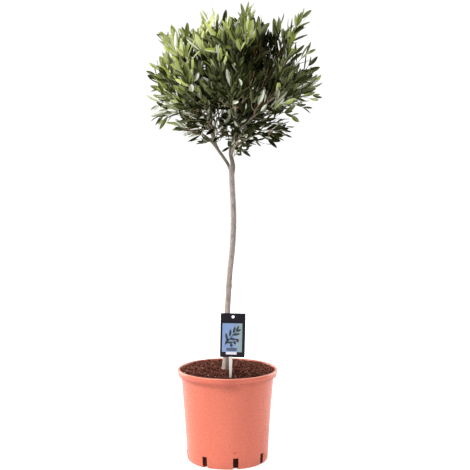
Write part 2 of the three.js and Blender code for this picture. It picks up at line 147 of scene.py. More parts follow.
MIDDLE = (0, 0, 0.5)
STEM_MIDDLE = (0, 0, 0.45)
lamp("key", (-3.8, -1.9, 3.9), MIDDLE, size=1.6, watts=182)
lamp("overhead", (-0.3, -0.7, 3.1), MIDDLE, size=1.6, watts=52)
lamp("left_screen", (-1.7, 1.2, 0.7), STEM_MIDDLE, size=1.5, watts=26)
lamp("right_screen", (1.7, 1.3, 0.7), STEM_MIDDLE, size=1.5, watts=24)

# %% [markdown]
# ## Meshes from arrays
#
# Every piece below is a set of points worked out as one array, and faces that join the points by
# their numbers. Most are grids: rows along the piece and columns round it. A tube is a grid whose
# last column meets the first, closed at both ends on a point.


# %% Helpers for grids and meshes
def unit(v):
    """v at length one."""
    return v / np.linalg.norm(v, axis=-1, keepdims=True)


def circle(count):
    """Angles of equal steps all the way round."""
    return np.linspace(0, 2 * math.pi, count, endpoint=False)


def spokes(turn):
    """Steps of length one in a plane, at angles from its first axis towards its second."""
    return np.stack([np.cos(turn), np.sin(turn)], axis=-1)


def around(radius, turn, height):
    """Points at a radius and an angle about the upright axis, at a height."""
    parts = np.broadcast_arrays(radius * np.cos(turn), radius * np.sin(turn), height)
    return np.stack(parts, axis=-1)


def grid_quads(rows, columns):
    """The four-sided faces of a grid of points numbered row by row, whose columns go all the way
    round."""
    r, c = np.meshgrid(np.arange(rows - 1), np.arange(columns), indexing="ij")
    d = (c + 1) % columns
    quads = [r * columns + c, r * columns + d, (r + 1) * columns + d, (r + 1) * columns + c]
    return np.stack(quads, axis=-1).reshape(-1, 4)


def end_fans(rows, columns):
    """The three-sided faces that close such a grid at its first and last row, on the two points that
    are numbered after the grid's own."""
    ring = np.arange(columns)
    after = (ring + 1) % columns
    last = (rows - 1) * columns
    foot, head = np.full(columns, rows * columns), np.full(columns, rows * columns + 1)
    return np.vstack([
        np.stack([foot, after, ring], axis=-1),
        np.stack([head, last + ring, last + after], axis=-1),
    ])


def piece(name, points, faces, materials, which=None, sharp=40, stands_for=()):
    """One object at the origin from points in millimetres and a list of arrays of faces. which gives
    each face's material by number, and edges that turn by more than sharp degrees stay crisp."""
    mesh = bpy.data.meshes.new(name)
    mesh.from_pydata((points * MM).tolist(), [], [f for part in faces for f in part.tolist()])
    for material in materials:
        mesh.materials.append(material)
    if which is not None:
        mesh.polygons.foreach_set("material_index", which.astype(np.int32))
    mesh.shade_smooth()
    mesh.set_sharp_from_angle(angle=math.radians(sharp))
    mesh.update()
    made = bpy.data.objects.new(name, mesh)
    bpy.context.collection.objects.link(made)
    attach(made, "root")
    if stands_for:
        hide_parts(*stands_for)
    triangles = sum(len(part) * (part.shape[1] - 2) for part in faces)
    print(name, "has", len(points), "points and", triangles, "triangles")
    return made


def with_values(made, name, values):
    """Keeps a value on each point of a piece, for its material to read."""
    attribute = made.data.attributes.new(name, "FLOAT", "POINT")
    attribute.data.foreach_set("value", values.astype(np.float32))


# %% [markdown]
# ## Finishes
#
# Plastic, bark and compost are all a little uneven: the colour drifts over a few centimetres, and a
# fine grain roughens the gloss. One node group makes both from noise, and each material places it
# with its own sizes. It reads object coordinates, so that the grain is the same size everywhere.


# %% Build the grain group
def grain_group():
    """Drift: slow noise from 0 to 1. Speck: fine noise from 0 to 1. Height: fine noise for a bump."""
    tree = bpy.data.node_groups.new("grain", "ShaderNodeTree")
    tree.interface.new_socket("Vector", in_out="INPUT", socket_type="NodeSocketVector")
    for name in ("Drift Scale", "Speck Scale"):
        tree.interface.new_socket(name, in_out="INPUT", socket_type="NodeSocketFloat")
    for name in ("Drift", "Speck", "Height"):
        tree.interface.new_socket(name, in_out="OUTPUT", socket_type="NodeSocketFloat")
    entry = tree.nodes.new("NodeGroupInput")
    leave = tree.nodes.new("NodeGroupOutput")
    for scale, outputs, detail in (
        ("Drift Scale", ["Drift"], 4), ("Speck Scale", ["Speck", "Height"], 2)
    ):
        noise = tree.nodes.new("ShaderNodeTexNoise")
        noise.inputs["Detail"].default_value = detail
        tree.links.new(entry.outputs["Vector"], noise.inputs["Vector"])
        tree.links.new(entry.outputs[scale], noise.inputs["Scale"])
        spread = tree.nodes.new("ShaderNodeMapRange")
        spread.inputs["From Min"].default_value = 0.3
        spread.inputs["From Max"].default_value = 0.7
        tree.links.new(noise.outputs["Fac"], spread.inputs["Value"])
        for name in outputs:
            tree.links.new(spread.outputs["Result"], leave.inputs[name])
    return tree


GRAIN = grain_group()
FIRST_COLOUR, SECOND_COLOUR, MIXED_COLOUR = 6, 7, 2  # a Mix node's own numbers for its colours


def srgb(red, green, blue):
    """A colour given as it looks on a screen, from 0 to 255, as the numbers that light works with."""
    share = np.array([red, green, blue]) / 255
    linear = np.where(share <= 0.04045, share / 12.92, ((share + 0.055) / 1.055) ** 2.4)
    return (*linear.tolist(), 1)


def plain_finish(name, colour, roughness, shine=0.5):
    """A material of one colour, and its Principled shader. shine is how strongly it mirrors."""
    made = bpy.data.materials.new(name)
    made.use_nodes = True
    shader = made.node_tree.nodes["Principled BSDF"]
    shader.inputs["Base Color"].default_value = colour
    shader.inputs["Roughness"].default_value = roughness
    shader.inputs["Specular IOR Level"].default_value = shine
    return made, shader


def plain_finishes(table):
    """Materials of one colour each, from rows of a name, a colour, a roughness and a shine."""
    return [plain_finish(*row)[0] for row in table]


def mixed(tree, mask, first, second):
    """A colour that goes from first to second as the mask goes from 0 to 1. Both may be colours or
    sockets."""
    mix = tree.nodes.new("ShaderNodeMix")
    mix.data_type = "RGBA"
    tree.links.new(mask, mix.inputs["Factor"])
    for number, colour in ((FIRST_COLOUR, first), (SECOND_COLOUR, second)):
        socket = mix.inputs[number]
        if isinstance(colour, tuple):
            socket.default_value = colour
        else:
            tree.links.new(colour, socket)
    return mix.outputs[MIXED_COLOUR]


def ranged(tree, value, low, high, least=0.0, most=1.0):
    """A mask that goes from least to most as the value goes from low to high."""
    node = tree.nodes.new("ShaderNodeMapRange")
    tree.links.new(value, node.inputs["Value"])
    for name, number in (("From Min", low), ("From Max", high), ("To Min", least), ("To Max", most)):
        node.inputs[name].default_value = number
    return node.outputs["Result"]


def coordinate(tree, coordinates, axis):
    """The object coordinate along one axis, in metres."""
    parts = tree.nodes.new("ShaderNodeSeparateXYZ")
    tree.links.new(coordinates.outputs["Object"], parts.inputs["Vector"])
    return parts.outputs[axis]


def kept_value(tree, name):
    """The value that the points of a piece keep under a name."""
    node = tree.nodes.new("ShaderNodeAttribute")
    node.attribute_name = name
    return node.outputs["Fac"]


def coloured(made, colour):
    """Gives a material's shader the colour that its nodes work out."""
    shader = made.node_tree.nodes["Principled BSDF"]
    made.node_tree.links.new(colour, shader.inputs["Base Color"])


def grained_finish(
    name, colours, roughness, scales, stretch=(1, 1, 1), bump=0.1, depth=0.0004, shine=0.5
):
    """A material whose colour drifts between two colours with specks of a third. roughness is its
    least and most, scales are those of the drift and the specks, and stretch lengthens the pattern.
    It also gives the colour's socket and the coordinates, for more to be laid over them."""
    made, shader = plain_finish(name, colours[0], roughness[0], shine)
    tree = made.node_tree
    coordinates = tree.nodes.new("ShaderNodeTexCoord")
    mapping = tree.nodes.new("ShaderNodeMapping")
    mapping.inputs["Scale"].default_value = stretch
    tree.links.new(coordinates.outputs["Object"], mapping.inputs["Vector"])
    grain = tree.nodes.new("ShaderNodeGroup")
    grain.node_tree = GRAIN
    grain.inputs["Drift Scale"].default_value = scales[0]
    grain.inputs["Speck Scale"].default_value = scales[1]
    tree.links.new(mapping.outputs["Vector"], grain.inputs["Vector"])
    drift = mixed(tree, grain.outputs["Drift"], colours[0], colours[1])
    specks = ranged(tree, grain.outputs["Speck"], 0.55, 1.0, most=0.6)
    colour = mixed(tree, specks, drift, colours[2])
    coloured(made, colour)
    tree.links.new(
        ranged(tree, grain.outputs["Speck"], 0, 1, *roughness), shader.inputs["Roughness"]
    )
    raise_by = tree.nodes.new("ShaderNodeBump")
    raise_by.inputs["Strength"].default_value = bump
    raise_by.inputs["Distance"].default_value = depth
    tree.links.new(grain.outputs["Height"], raise_by.inputs["Height"])
    tree.links.new(raise_by.outputs["Normal"], shader.inputs["Normal"])
    return made, colour, coordinates


# %% [markdown]
# ## The pot
#
# A nursery pot is moulded in thin plastic: a slightly flared wall, a rolled rim that hangs down
# outside it as a skirt, a rounded foot, and slots round the foot that let water out. It could be
# turned with a screw modifier and cut with booleans. Here the turned profile is carried round in
# columns that run along the slots' two sides, so that a slot is simply a run of faces left out,
# with its edges joined from the outer skin to the inner one.

# %% The pot's sizes and profile
POT_HEIGHT = 195
RIM_RADIUS = 105
MOUTH_RADIUS = 100.5
BASE_RADIUS = 84.6
WALL = 2.2
POT_FLOOR = 3
LIP_HEIGHT = 14
BASE_FILLET = 7
SLOT_COUNT = 8
SLOT_WIDTH = 11.3
SLOT_HEIGHT = 25
SLOT_FIRST = -78.2
SLOT_DEPTH_FROM = 69.6  # the slots run from this radius outwards
INNER_FILLET = 5
FOOT_FLAT = 71
UNDERSIDE_RISE = 1.6  # the underside is raised between its middle disc and its outer ring
FLARE, MORE_FLARE = 10.1, 4
GROOVE_CORNER = 1.5  # the groove is the hollow between the wall and the rim's skirt
SKIRT_EDGE = 1.1
BULGE = 9.5
SHOULDER = 3
MOUTH_EDGE = 1.2


def wall_radius(height):
    """The wall's outer radius: it grows by the share of the height, and by that share's square."""
    share = height / POT_HEIGHT
    return BASE_RADIUS + FLARE * share + MORE_FLARE * share**2


def arc(centre, radius, first, last, count):
    """Points on part of a circle, from one angle in degrees to another."""
    angle = np.radians(np.linspace(first, last, count))
    return np.asarray(centre) + radius * spokes(angle)


def wall_rows(heights, inset=0.0):
    """Points on the wall at some heights, on its outer skin or set in from it."""
    heights = np.asarray(heights, float)
    return np.stack([wall_radius(heights) - inset, heights], axis=-1)


def foot_rows(bottom, fillet, inset=0.0):
    """The rows of one skin that the slots cut through: along the floor, round the fillet and up the
    wall."""
    centre = (wall_radius(BASE_FILLET) - inset - fillet, bottom + fillet)
    return np.vstack([
        [[SLOT_DEPTH_FROM, bottom], [FOOT_FLAT, bottom]],
        arc(centre, fillet, -90, 0, 5),
        wall_rows([11, 18, SLOT_HEIGHT], inset),
    ])


underside = np.array([[18, 0], [20, UNDERSIDE_RISE], [62, UNDERSIDE_RISE], [64, 0]])
outer_foot = foot_rows(0, BASE_FILLET)
inner_foot = foot_rows(POT_FLOOR, INNER_FILLET, WALL)
lip_foot = POT_HEIGHT - LIP_HEIGHT
groove = POT_HEIGHT - 4.5
in_groove = groove - GROOVE_CORNER
rim = np.vstack([
    wall_rows([groove - 2]),
    arc((wall_radius(groove) + GROOVE_CORNER, in_groove), GROOVE_CORNER, 180, 90, 4),
    arc((RIM_RADIUS - WALL - GROOVE_CORNER, in_groove), GROOVE_CORNER, 90, 0, 4),
    [[RIM_RADIUS - WALL - 0.4, POT_HEIGHT - 9]],
    arc((RIM_RADIUS - 2.7, lip_foot + SKIRT_EDGE), SKIRT_EDGE, -180, -10, 8),
    arc((RIM_RADIUS - BULGE, POT_HEIGHT - 5), BULGE, -32, 10, 8),
    arc((RIM_RADIUS - 3.3, POT_HEIGHT - SHOULDER), SHOULDER, 15, 90, 7),
    arc((MOUTH_RADIUS + 0.9, POT_HEIGHT - MOUTH_EDGE), MOUTH_EDGE, 90, 180, 5),
    [[wall_radius(groove) - WALL, groove - 3]],
])
inside = np.array([[60, POT_FLOOR], [30, POT_FLOOR]])
mark_rows = np.linspace(34.5, 39.1, 9)  # close rows, for a mark that is pressed into the wall
profile = np.vstack([
    underside,
    outer_foot,
    wall_rows(np.concatenate([[29, 33], mark_rows, np.linspace(43, 178, 22)])),
    rim,
    wall_rows(np.linspace(178, 28, 12), WALL),
    inner_foot[::-1],
    inside,
])
print("the profile has", len(profile), "points")


# %% Carry the profile round the pot
def pot_columns(radius, across=10, between=26):
    """Angles of the columns at each radius. Those at a slot keep to its parallel sides, whose angle
    from its middle has the sine half its width over the radius, and the rest share out what is left."""
    step = 2 * math.pi / SLOT_COUNT
    middles = math.radians(SLOT_FIRST) + step * np.arange(SLOT_COUNT)
    half = np.arcsin(SLOT_WIDTH / 2 / np.maximum(radius, SLOT_DEPTH_FROM))[:, None, None]
    in_slot = middles[:, None] + half * np.linspace(-1, 1, across + 1)
    shares = np.linspace(0, 1, between + 1)[1:-1]
    outside = middles[:, None] + half + shares * (step - 2 * half)
    angles = np.concatenate([in_slot, outside], axis=-1)
    starts = np.arange(SLOT_COUNT) * angles.shape[-1]
    return angles.reshape(len(radius), -1), starts, across


angles, slot_starts, slot_span = pot_columns(profile[:, 0])
rows, columns = angles.shape
shell = around(profile[:, :1], angles, profile[:, 1:]).reshape(-1, 3)

outer_rows = len(underside) + np.arange(len(outer_foot))
inner_rows = rows - len(inside) - 1 - np.arange(len(inner_foot))
quads = grid_quads(rows, columns)
row_of = np.repeat(np.arange(rows - 1), columns)
column_of = np.tile(np.arange(columns), rows - 1)
in_slot = np.isin(column_of, (slot_starts[:, None] + np.arange(slot_span)).ravel())
in_foot = np.isin(row_of, outer_rows[:-1]) | np.isin(row_of, inner_rows[1:])
skin = quads[~(in_slot & in_foot)]

# %% [markdown]
# The slots' edges: two sides, a top under the wall, and a back across the floor. Each joins the
# outer skin's points to the inner skin's, row by row or column by column.


# %% Close the slots
def strip(outer, inner):
    """Faces between two runs of points of equal length, seen with the outer run on the left."""
    return np.stack([outer[:-1], outer[1:], inner[1:], inner[:-1]], axis=-1)


edges = []
for start in slot_starts:
    first, last = start, start + slot_span
    across = np.arange(first, last + 1)
    edges.append(strip(outer_rows * columns + last, inner_rows * columns + last))
    edges.append(strip(inner_rows * columns + first, outer_rows * columns + first))
    edges.append(strip(inner_rows[-1] * columns + across, outer_rows[-1] * columns + across))
    edges.append(strip(outer_rows[0] * columns + across, inner_rows[0] * columns + across))
print("the slots have", sum(len(part) for part in edges), "edge faces")

# %% [markdown]
# The mould has left a short mark pressed into the wall above the slot nearest the front. Painted
# shade darkens it and the corner under the rim, and reaches a little further down at the front. The
# mark moves the points themselves, and the painted shade is a value that each point keeps for the
# material.

# %% Press the mark, make the pot and paint shade on it
MARK_HEIGHT, MARK_HALF_LENGTH, MARK_HALF_WIDTH, MARK_DEPTH = 36.8, 4.6, 1.15, 0.7
MARK_TURN = math.radians(SLOT_FIRST) - 0.02
SHADE_STRENGTH, RIM_SHADE_HEIGHT, FRONT_SHADE_HEIGHT, FRONT_SHADE_HALF_TURN = 0.5, 4.5, 12, 0.2

level = shell[:, 2]
away = np.hypot(shell[:, 0], shell[:, 1])
outside = away > wall_radius(level) - 0.5
turn = (angles.ravel() - MARK_TURN + math.pi) % (2 * math.pi) - math.pi
aside = turn * shell[:, 0].max() / MARK_HALF_LENGTH
above = (level - MARK_HEIGHT) / MARK_HALF_WIDTH
pressed = MARK_DEPTH * outside * np.exp(-(aside**8) - above**4)
shell[:, :2] *= 1 - (pressed / np.maximum(away, 1))[:, None]
shell = np.vstack([shell, [[0, 0, 0], [0, 0, POT_FLOOR]]])

# painted shade: in the corner under the rim, further down a little right of the front, and in the pressed
# mark's recess
rim_shade = SHADE_STRENGTH * outside * np.exp(-(((level - lip_foot - 1) / RIM_SHADE_HEIGHT) ** 2))
below = (level - lip_foot) / FRONT_SHADE_HEIGHT
front_shade = SHADE_STRENGTH * outside * np.exp(-(below**2) - ((turn + 0.1) / FRONT_SHADE_HALF_TURN) ** 2)
painted_shade = np.max([pressed, rim_shade, front_shade], axis=0)

terracotta, colour, coordinates = grained_finish(
    "terracotta_plastic", [srgb(225, 115, 88), srgb(219, 108, 83), srgb(228, 124, 96)],
    roughness=(0.26, 0.3), scales=(16, 900), stretch=(1, 1, 0.45), bump=0.015, depth=0.0002,
)
tree = terracotta.node_tree
height = coordinate(tree, coordinates, "Z")
dust = ranged(tree, height, 0.03, 0.0, most=0.35)
# a painted highlight along the rim's rolled top edge
rim_highlight = ranged(tree, height, 0.1925, 0.1945, most=0.45)
for mask, tone in (
    (dust, srgb(190, 108, 90)),
    (rim_highlight, srgb(244, 176, 152)),
    # painted shade under the rim and in the pressed mark
    (kept_value(tree, "painted_shade"), srgb(150, 52, 38)),
):
    colour = mixed(tree, mask, colour, tone)
coloured(terracotta, colour)
pot = piece(
    "pot_shell", shell, [skin, *edges, end_fans(rows, columns)], [terracotta],
    sharp=35, stands_for=["pot"],
)
with_values(pot, "painted_shade", np.concatenate([painted_shade, [0, 0]]))

# %% [markdown]
# ## The compost
#
# Potting compost is a crumbly mix of peat and fine bark. From a step away it is a rough dark brown
# surface with single crumbs and a few pale bits lying on it. It is painted darker in a spot in front
# of the stem, and towards the front as painted shade. The filling is one turned solid whose top is
# raised and sunk by waves of several sizes. The crumbs are some 2,600 small angular stones of twenty
# faces, made in one array: the same stone stretched, dented, turned and strewn.

# %% Waves that make an uneven surface
SOIL_LEVEL = 193
GAP = 0.3
CALM_FROM, CALM_WIDTH = 8, 12  # how far from the pot's middle the compost starts to be uneven
SUNK_FROM, SUNK_WIDTH = 88, 10


def waves(x, y, seed, lengths, count=24):
    """Unevenness about zero: the sum of many straight waves whose directions, starts and lengths are
    drawn at random, each as high as it is long beside the longest."""
    rng = np.random.default_rng(seed)
    length = rng.uniform(*lengths, count)
    turn = rng.uniform(0, 2 * math.pi, count)
    start = rng.uniform(0, 2 * math.pi, count)
    along = x[..., None] * np.cos(turn) + y[..., None] * np.sin(turn)
    heights = np.sin(2 * math.pi * along / length + start) * length / lengths[1]
    return heights.sum(axis=-1) / math.sqrt(count)


def soil_height(x, y):
    """The level of the compost at a place: the solid's own heave, with two sizes of lumps over it,
    calm round the stem's foot and a little sunk at the pot's wall."""
    away = np.hypot(x, y)
    rough = np.clip((away - CALM_FROM) / CALM_WIDTH, 0, 1)
    sunk = 1.2 * np.clip((away - SUNK_FROM) / SUNK_WIDTH, 0, 1)
    heave = 1.3 * np.sin(x / 11 + 1) * np.cos(y / 13) + 0.9 * np.sin((x + y) / 7)
    lumps = 0.9 * waves(x, y, seed=3, lengths=(9, 26)) + 0.8 * waves(x, y, seed=4, lengths=(2.5, 6))
    return SOIL_LEVEL + rough * (0.6 * heave + lumps) - sunk


def shade_and_dark_spot(x, y):
    """How much darker the compost is painted: most in a spot in front of the stem, and some towards the
    front, which is painted shade.
    """
    spot = np.exp(-(((x - 16) / 13) ** 2) - ((y + 20) / 28) ** 2)
    return np.minimum(spot + 0.7 * np.clip((-y - 25) / 40, 0, 1), 1)


# %% Make the filling
top_radius = MOUTH_RADIUS - 1.6
rings = np.linspace(1.5, top_radius, 60)
turns = circle(180)
radius, turn = np.meshgrid(rings[::-1], turns, indexing="ij")
x, y = radius * np.cos(turn), radius * np.sin(turn)
top = np.stack([x, y, soil_height(x, y)], axis=-1)
side_profile = np.array([
    (40, POT_FLOOR + GAP),
    (wall_radius(BASE_FILLET) - WALL - 5.5 - GAP, POT_FLOOR + GAP),
    (wall_radius(BASE_FILLET) - WALL - GAP - 0.3, BASE_FILLET + 1.5),
    (wall_radius(95) - WALL - GAP - 0.6, 95),
    (wall_radius(groove) - WALL - GAP - 0.5, groove - 3),
])
sides = around(side_profile[:, :1], turns, side_profile[:, 1:])
fill = np.concatenate([sides, top])
rows, columns = fill.shape[:2]
fill = np.vstack([fill.reshape(-1, 3), [[0, 0, POT_FLOOR + GAP], [0, 0, SOIL_LEVEL]]])

compost_finish, colour, coordinates = grained_finish(
    "compost", [srgb(98, 52, 41), srgb(130, 82, 68), srgb(46, 20, 14)],
    roughness=(0.85, 1.0), scales=(160, 620), bump=0.7, depth=0.0012, shine=0.1,
)
tree = compost_finish.node_tree
# painted darker in a spot in front of the stem, and towards the front as painted shade
colour = mixed(tree, kept_value(tree, "shade_and_dark_spot"), colour, srgb(50, 22, 15))
# painted shade on the compost's foot, where it shows through the slots
foot_shade = ranged(tree, coordinate(tree, coordinates, "Z"), 0.06, 0.03, most=0.8)
coloured(compost_finish, mixed(tree, foot_shade, colour, srgb(40, 16, 10)))
compost = piece(
    "compost_fill", fill, [grid_quads(rows, columns), end_fans(rows, columns)], [compost_finish],
    stands_for=["compost"],
)
with_values(compost, "shade_and_dark_spot", 0.8 * shade_and_dark_spot(fill[:, 0], fill[:, 1]))


# %% Strew the crumbs
def turns_at_random(rng, count):
    """Turning matrices from random unit quaternions."""
    w, x, y, z = unit(rng.normal(size=(count, 4))).T
    return np.stack([
        np.stack([1 - 2 * (y * y + z * z), 2 * (x * y - w * z), 2 * (x * z + w * y)], axis=-1),
        np.stack([2 * (x * y + w * z), 1 - 2 * (x * x + z * z), 2 * (y * z - w * x)], axis=-1),
        np.stack([2 * (x * z - w * y), 2 * (y * z + w * x), 1 - 2 * (x * x + y * y)], axis=-1),
    ], axis=1)


golden = (1 + math.sqrt(5)) / 2
STONE = unit(np.array([
    (-1, golden, 0), (1, golden, 0), (-1, -golden, 0), (1, -golden, 0), (0, -1, golden), (0, 1, golden),
    (0, -1, -golden), (0, 1, -golden), (golden, 0, -1), (golden, 0, 1), (-golden, 0, -1), (-golden, 0, 1),
]))
STONE_FACES = np.array([
    (0, 11, 5), (0, 5, 1), (0, 1, 7), (0, 7, 10), (0, 10, 11), (1, 5, 9), (5, 11, 4), (11, 10, 2),
    (10, 7, 6), (7, 1, 8), (3, 9, 4), (3, 4, 2), (3, 2, 6), (3, 6, 8), (3, 8, 9), (4, 9, 5), (2, 4, 11),
    (6, 2, 10), (8, 6, 7), (9, 8, 1),
])


def crumbs(count, seed, sizes, inner, outer):
    """Stones strewn evenly over a ring of ground. Each corner is dented by up to a third, each stone
    stretched along its own axes and turned, and set with its middle a little above the ground."""
    rng = np.random.default_rng(seed)
    size = rng.uniform(*sizes, count) * rng.uniform(0.5, 1, count)
    stretch = rng.uniform(0.45, 1.25, (count, 1, 3))
    dent = rng.uniform(0.7, 1.05, (count, len(STONE), 1))
    shape = np.einsum("nij,nkj->nki", turns_at_random(rng, count), STONE * dent * stretch)
    away = np.sqrt(rng.uniform(inner**2, outer**2, count))
    turn = rng.uniform(0, 2 * math.pi, count)
    x, y = away * np.cos(turn), away * np.sin(turn)
    place = np.stack([x, y, soil_height(x, y) + 0.25 * size], axis=-1)
    return place[:, None] + shape * size[:, None, None]


stones = crumbs(count=2600, seed=11, sizes=(1.1, 3.2), inner=8.5, outer=top_radius - 2.5)
first_corners = len(STONE) * np.arange(len(stones))
stone_faces = (STONE_FACES + first_corners[:, None, None]).reshape(-1, 3)
crumb_finishes = plain_finishes([
    ("crumb_dark", srgb(64, 30, 22), 0.95, 0.1),
    ("crumb_brown", srgb(114, 68, 56), 0.95, 0.1),
    ("crumb_red", srgb(152, 98, 82), 0.95, 0.1),
    ("crumb_pale", srgb(184, 144, 124), 0.95, 0.1),
])
draw = np.random.default_rng(12)
kinds = draw.choice(len(crumb_finishes), len(stones), p=[0.44, 0.36, 0.18, 0.02])
middles = stones.mean(axis=1)
# crumbs in the darker places, the front's painted shade among them, are dark ones
darkened = draw.uniform(size=len(stones)) < 0.9 * shade_and_dark_spot(middles[:, 0], middles[:, 1])
kinds[darkened] = 0
piece(
    "compost_crumbs", stones.reshape(-1, 3), [stone_faces], crumb_finishes,
    which=np.repeat(kinds, len(STONE_FACES)), sharp=25,
)

# %% [markdown]
# ## The plant's limbs
#
# The solids of the crown follow one table: each bough leaves its parent at a height and goes to a
# mass of foliage, whose furthest tip is given by its turn and rise from the crown's middle. The same
# table and the same smooth lines are worked out again here, so that every limb lies where its solid
# lies, and the fine growth can run on from it.

# %% The tables of the crown
UP = np.array([0.0, 0.0, 1.0])
TRUNK_RADIUS = 6.1
FORK_HEIGHT = 622
CROWN_CENTRE = np.array([16.0, 0, 800])
CROWN_RADII = np.array([176.0, 170, 152])
SOLID_LEAF = 64  # the solids' leaves are larger than life, and their stems end that much sooner
ENTRY_SHARE, ENTRY_LIFT, START_LIFT = 0.32, 5, 4  # how a bough rises into its mass
STEM_LEAST, BOW_SHARE = 0.45, 0.45

TRUNK_LINE = [
    (-5, 0, SOIL_LEVEL + GAP), (-4, 0, 203), (-2, 1, 250), (1, 2, 335), (5, 2, 398),
    (10, 1, 445), (12.5, 0, 488), (12.5, -1, 530), (10, -1, 578), (8, 0, FORK_HEIGHT),
]
LEADER_THICK = {"top": 4.6, "upper_left": 3.2}
LEADERS = {
    "top": [
        (11.8, -0.5, FORK_HEIGHT - 4), (7, -1.5, 647), (13, -3, 676), (21, -4, 704), (17, -4, 740),
        (18, -5, 768),
    ],
    "upper_left": [
        (3.6, 0.5, FORK_HEIGHT - 4), (-8, 2, 637), (-22, 4, 658), (-32, 5, 704), (-46, 5, 744),
    ],
}
# name, parent, height on it, turn, rise, reach, pairs of twigs, points that the front shows
CROWN = [
    ("top", None, 0, -40, 80, 1, 4, None),
    ("upper_left", None, 0, 177, 40, 1.06, 4, None),
    ("top_left", "upper_left", 708, 170, 71, 0.97, 4, None),
    ("upper_right", "top", 704, -2, 47, 1.14, 4, [(38, -4, 730), (56, -5, 756)]),
    ("upper_front", "top", 722, -90, 38, 0.98, 4, None),
    ("upper_back", "top", 714, 88, 40, 0.98, 4, None),
    ("left", "upper_left", 682, 181, 4, 1, 5, None),
    ("right", "top", 690, 2, 2, 1, 4, None),
    ("front", "top", 696, -92, 0, 0.98, 5, None),
    ("back", "top", 702, 90, 2, 0.98, 5, None),
    ("front_left", "upper_left", 668, -132, 2, 0.98, 4, None),
    ("front_right", "top", 676, -48, 0, 0.98, 4, None),
    ("back_left", "upper_left", 674, 132, 2, 0.98, 4, None),
    ("back_right", "top", 682, 48, 0, 0.98, 4, None),
    ("low_left", "upper_left", 656, 186, -35, 1.04, 5, [(-33, 4, 670), (-47, 5, 681)]),
    ("low_front", "top", 640, -80, -36, 1, 5, None),
    ("low_back", "top", 646, 80, -36, 1, 5, None),
    ("low_right", "top", 652, -4, -49, 1.06, 5, [(38, -3, 674), (54, -4, 682)]),
]


# %% Smooth lines through points
def smooth_line(points, shares):
    """Points at shares of the way along a smooth line through some points. Each stretch is a cubic
    whose slopes at its ends weigh its neighbours by the square roots of the distances."""
    p = np.array(points, float)
    p = np.vstack([2 * p[0] - p[1], p, 2 * p[-1] - p[-2]])
    gaps = np.sqrt(np.linalg.norm(np.diff(p, axis=0), axis=1))
    place = np.clip(shares, 0, 1) * (len(points) - 1)
    k = np.minimum(place.astype(int), len(points) - 2)
    w = (place - k)[:, None]
    p0, p1, p2, p3 = (p[k + i] for i in range(4))
    d0, d1, d2 = (gaps[k + i][:, None] for i in range(3))
    leave = ((p1 - p0) / d0 - (p2 - p0) / (d0 + d1) + (p2 - p1) / d1) * d1
    arrive = ((p2 - p1) / d1 - (p3 - p1) / (d1 + d2) + (p3 - p2) / d2) * d1
    bend = 3 * (p2 - p1) - 2 * leave - arrive
    turn = 2 * (p1 - p2) + leave + arrive
    return p1 + leave * w + bend * w**2 + turn * w**3


def spaced(points, count):
    """Points at equal distances along the smooth line."""
    shares = np.linspace(0, 1, 201)
    line = smooth_line(points, shares)
    run = np.concatenate([[0], np.cumsum(np.linalg.norm(np.diff(line, axis=0), axis=1))])
    return smooth_line(points, np.interp(np.linspace(0, run[-1], count), run, shares))


def crown_point(turn, rise, share):
    """A point of the crown's outer surface in a direction, at a share of its radius."""
    a, e = math.radians(turn), math.radians(rise)
    way = np.array([math.cos(a) * math.cos(e), math.sin(a) * math.cos(e), math.sin(e)])
    return CROWN_CENTRE + share * CROWN_RADII * way


def crown_share(points):
    """How far out points lie, as a share of the crown's radius."""
    return np.linalg.norm((points - CROWN_CENTRE) / CROWN_RADII, axis=-1)


# %% Work out every limb's line, and the stem that runs on from it into its mass
limb_lines = {}
masses = []
for name, parent, level, turn, rise, reach, pairs, via in CROWN:
    tip = crown_point(turn, rise, reach)
    points = LEADERS.get(name)
    if points is None:
        line = spaced(limb_lines[parent], 201)
        start = line[np.argmin(np.abs(line[:, 2] - level))]
        entry = start + ENTRY_SHARE * (tip - start) + ENTRY_LIFT * UP
        points = [start, *(via or [start + 0.5 * (entry - start) + START_LIFT * UP, entry])]
    limb_lines[name] = points
    last = smooth_line(points, np.array([0.9999, 1.0]))
    aim = unit(last[1] - last[0])
    root = last[1] + GAP * aim
    full = np.linalg.norm(tip - root)
    length = max(full - 0.9 * SOLID_LEAF, STEM_LEAST * full)
    masses.append({
        "name": name, "pairs": pairs, "tip": tip, "root": root, "full": full,
        "bow": root + BOW_SHARE * length * aim, "end": root + (tip - root) * length / full,
    })
print("boughs:", len(limb_lines), "mean stem:", round(np.mean([m["full"] for m in masses])), "mm")

# %% [markdown]
# ## Bark
#
# Young olive bark is smooth and grey, with fine lengthwise wrinkles, small raised pores and faint
# rings where leaf pairs once stood. A displacement map could carry it, but then the outline would
# stay smooth. Here the rings of points themselves rise and sink, and the same relief is kept as an
# attribute that darkens the colour in the furrows as painted shade.


# %% Rings square to a line
def frames(lines):
    """Two directions square to each line and to each other at each point: the first lies in the
    line's upright plane, and the second is square to that plane or nearly so."""
    along = unit(np.gradient(lines, axis=-2))
    chord = lines[..., -1, :] - lines[..., 0, :]
    flat = np.cross(chord, UP)
    upright = np.linalg.norm(flat, axis=-1, keepdims=True) < 0.3 * np.linalg.norm(
        chord, axis=-1, keepdims=True
    )
    flat = np.where(upright, np.array([0.0, 1.0, 0.0]), flat)[..., None, :]
    first = unit(np.cross(flat, along))
    return along, first, np.cross(along, first)


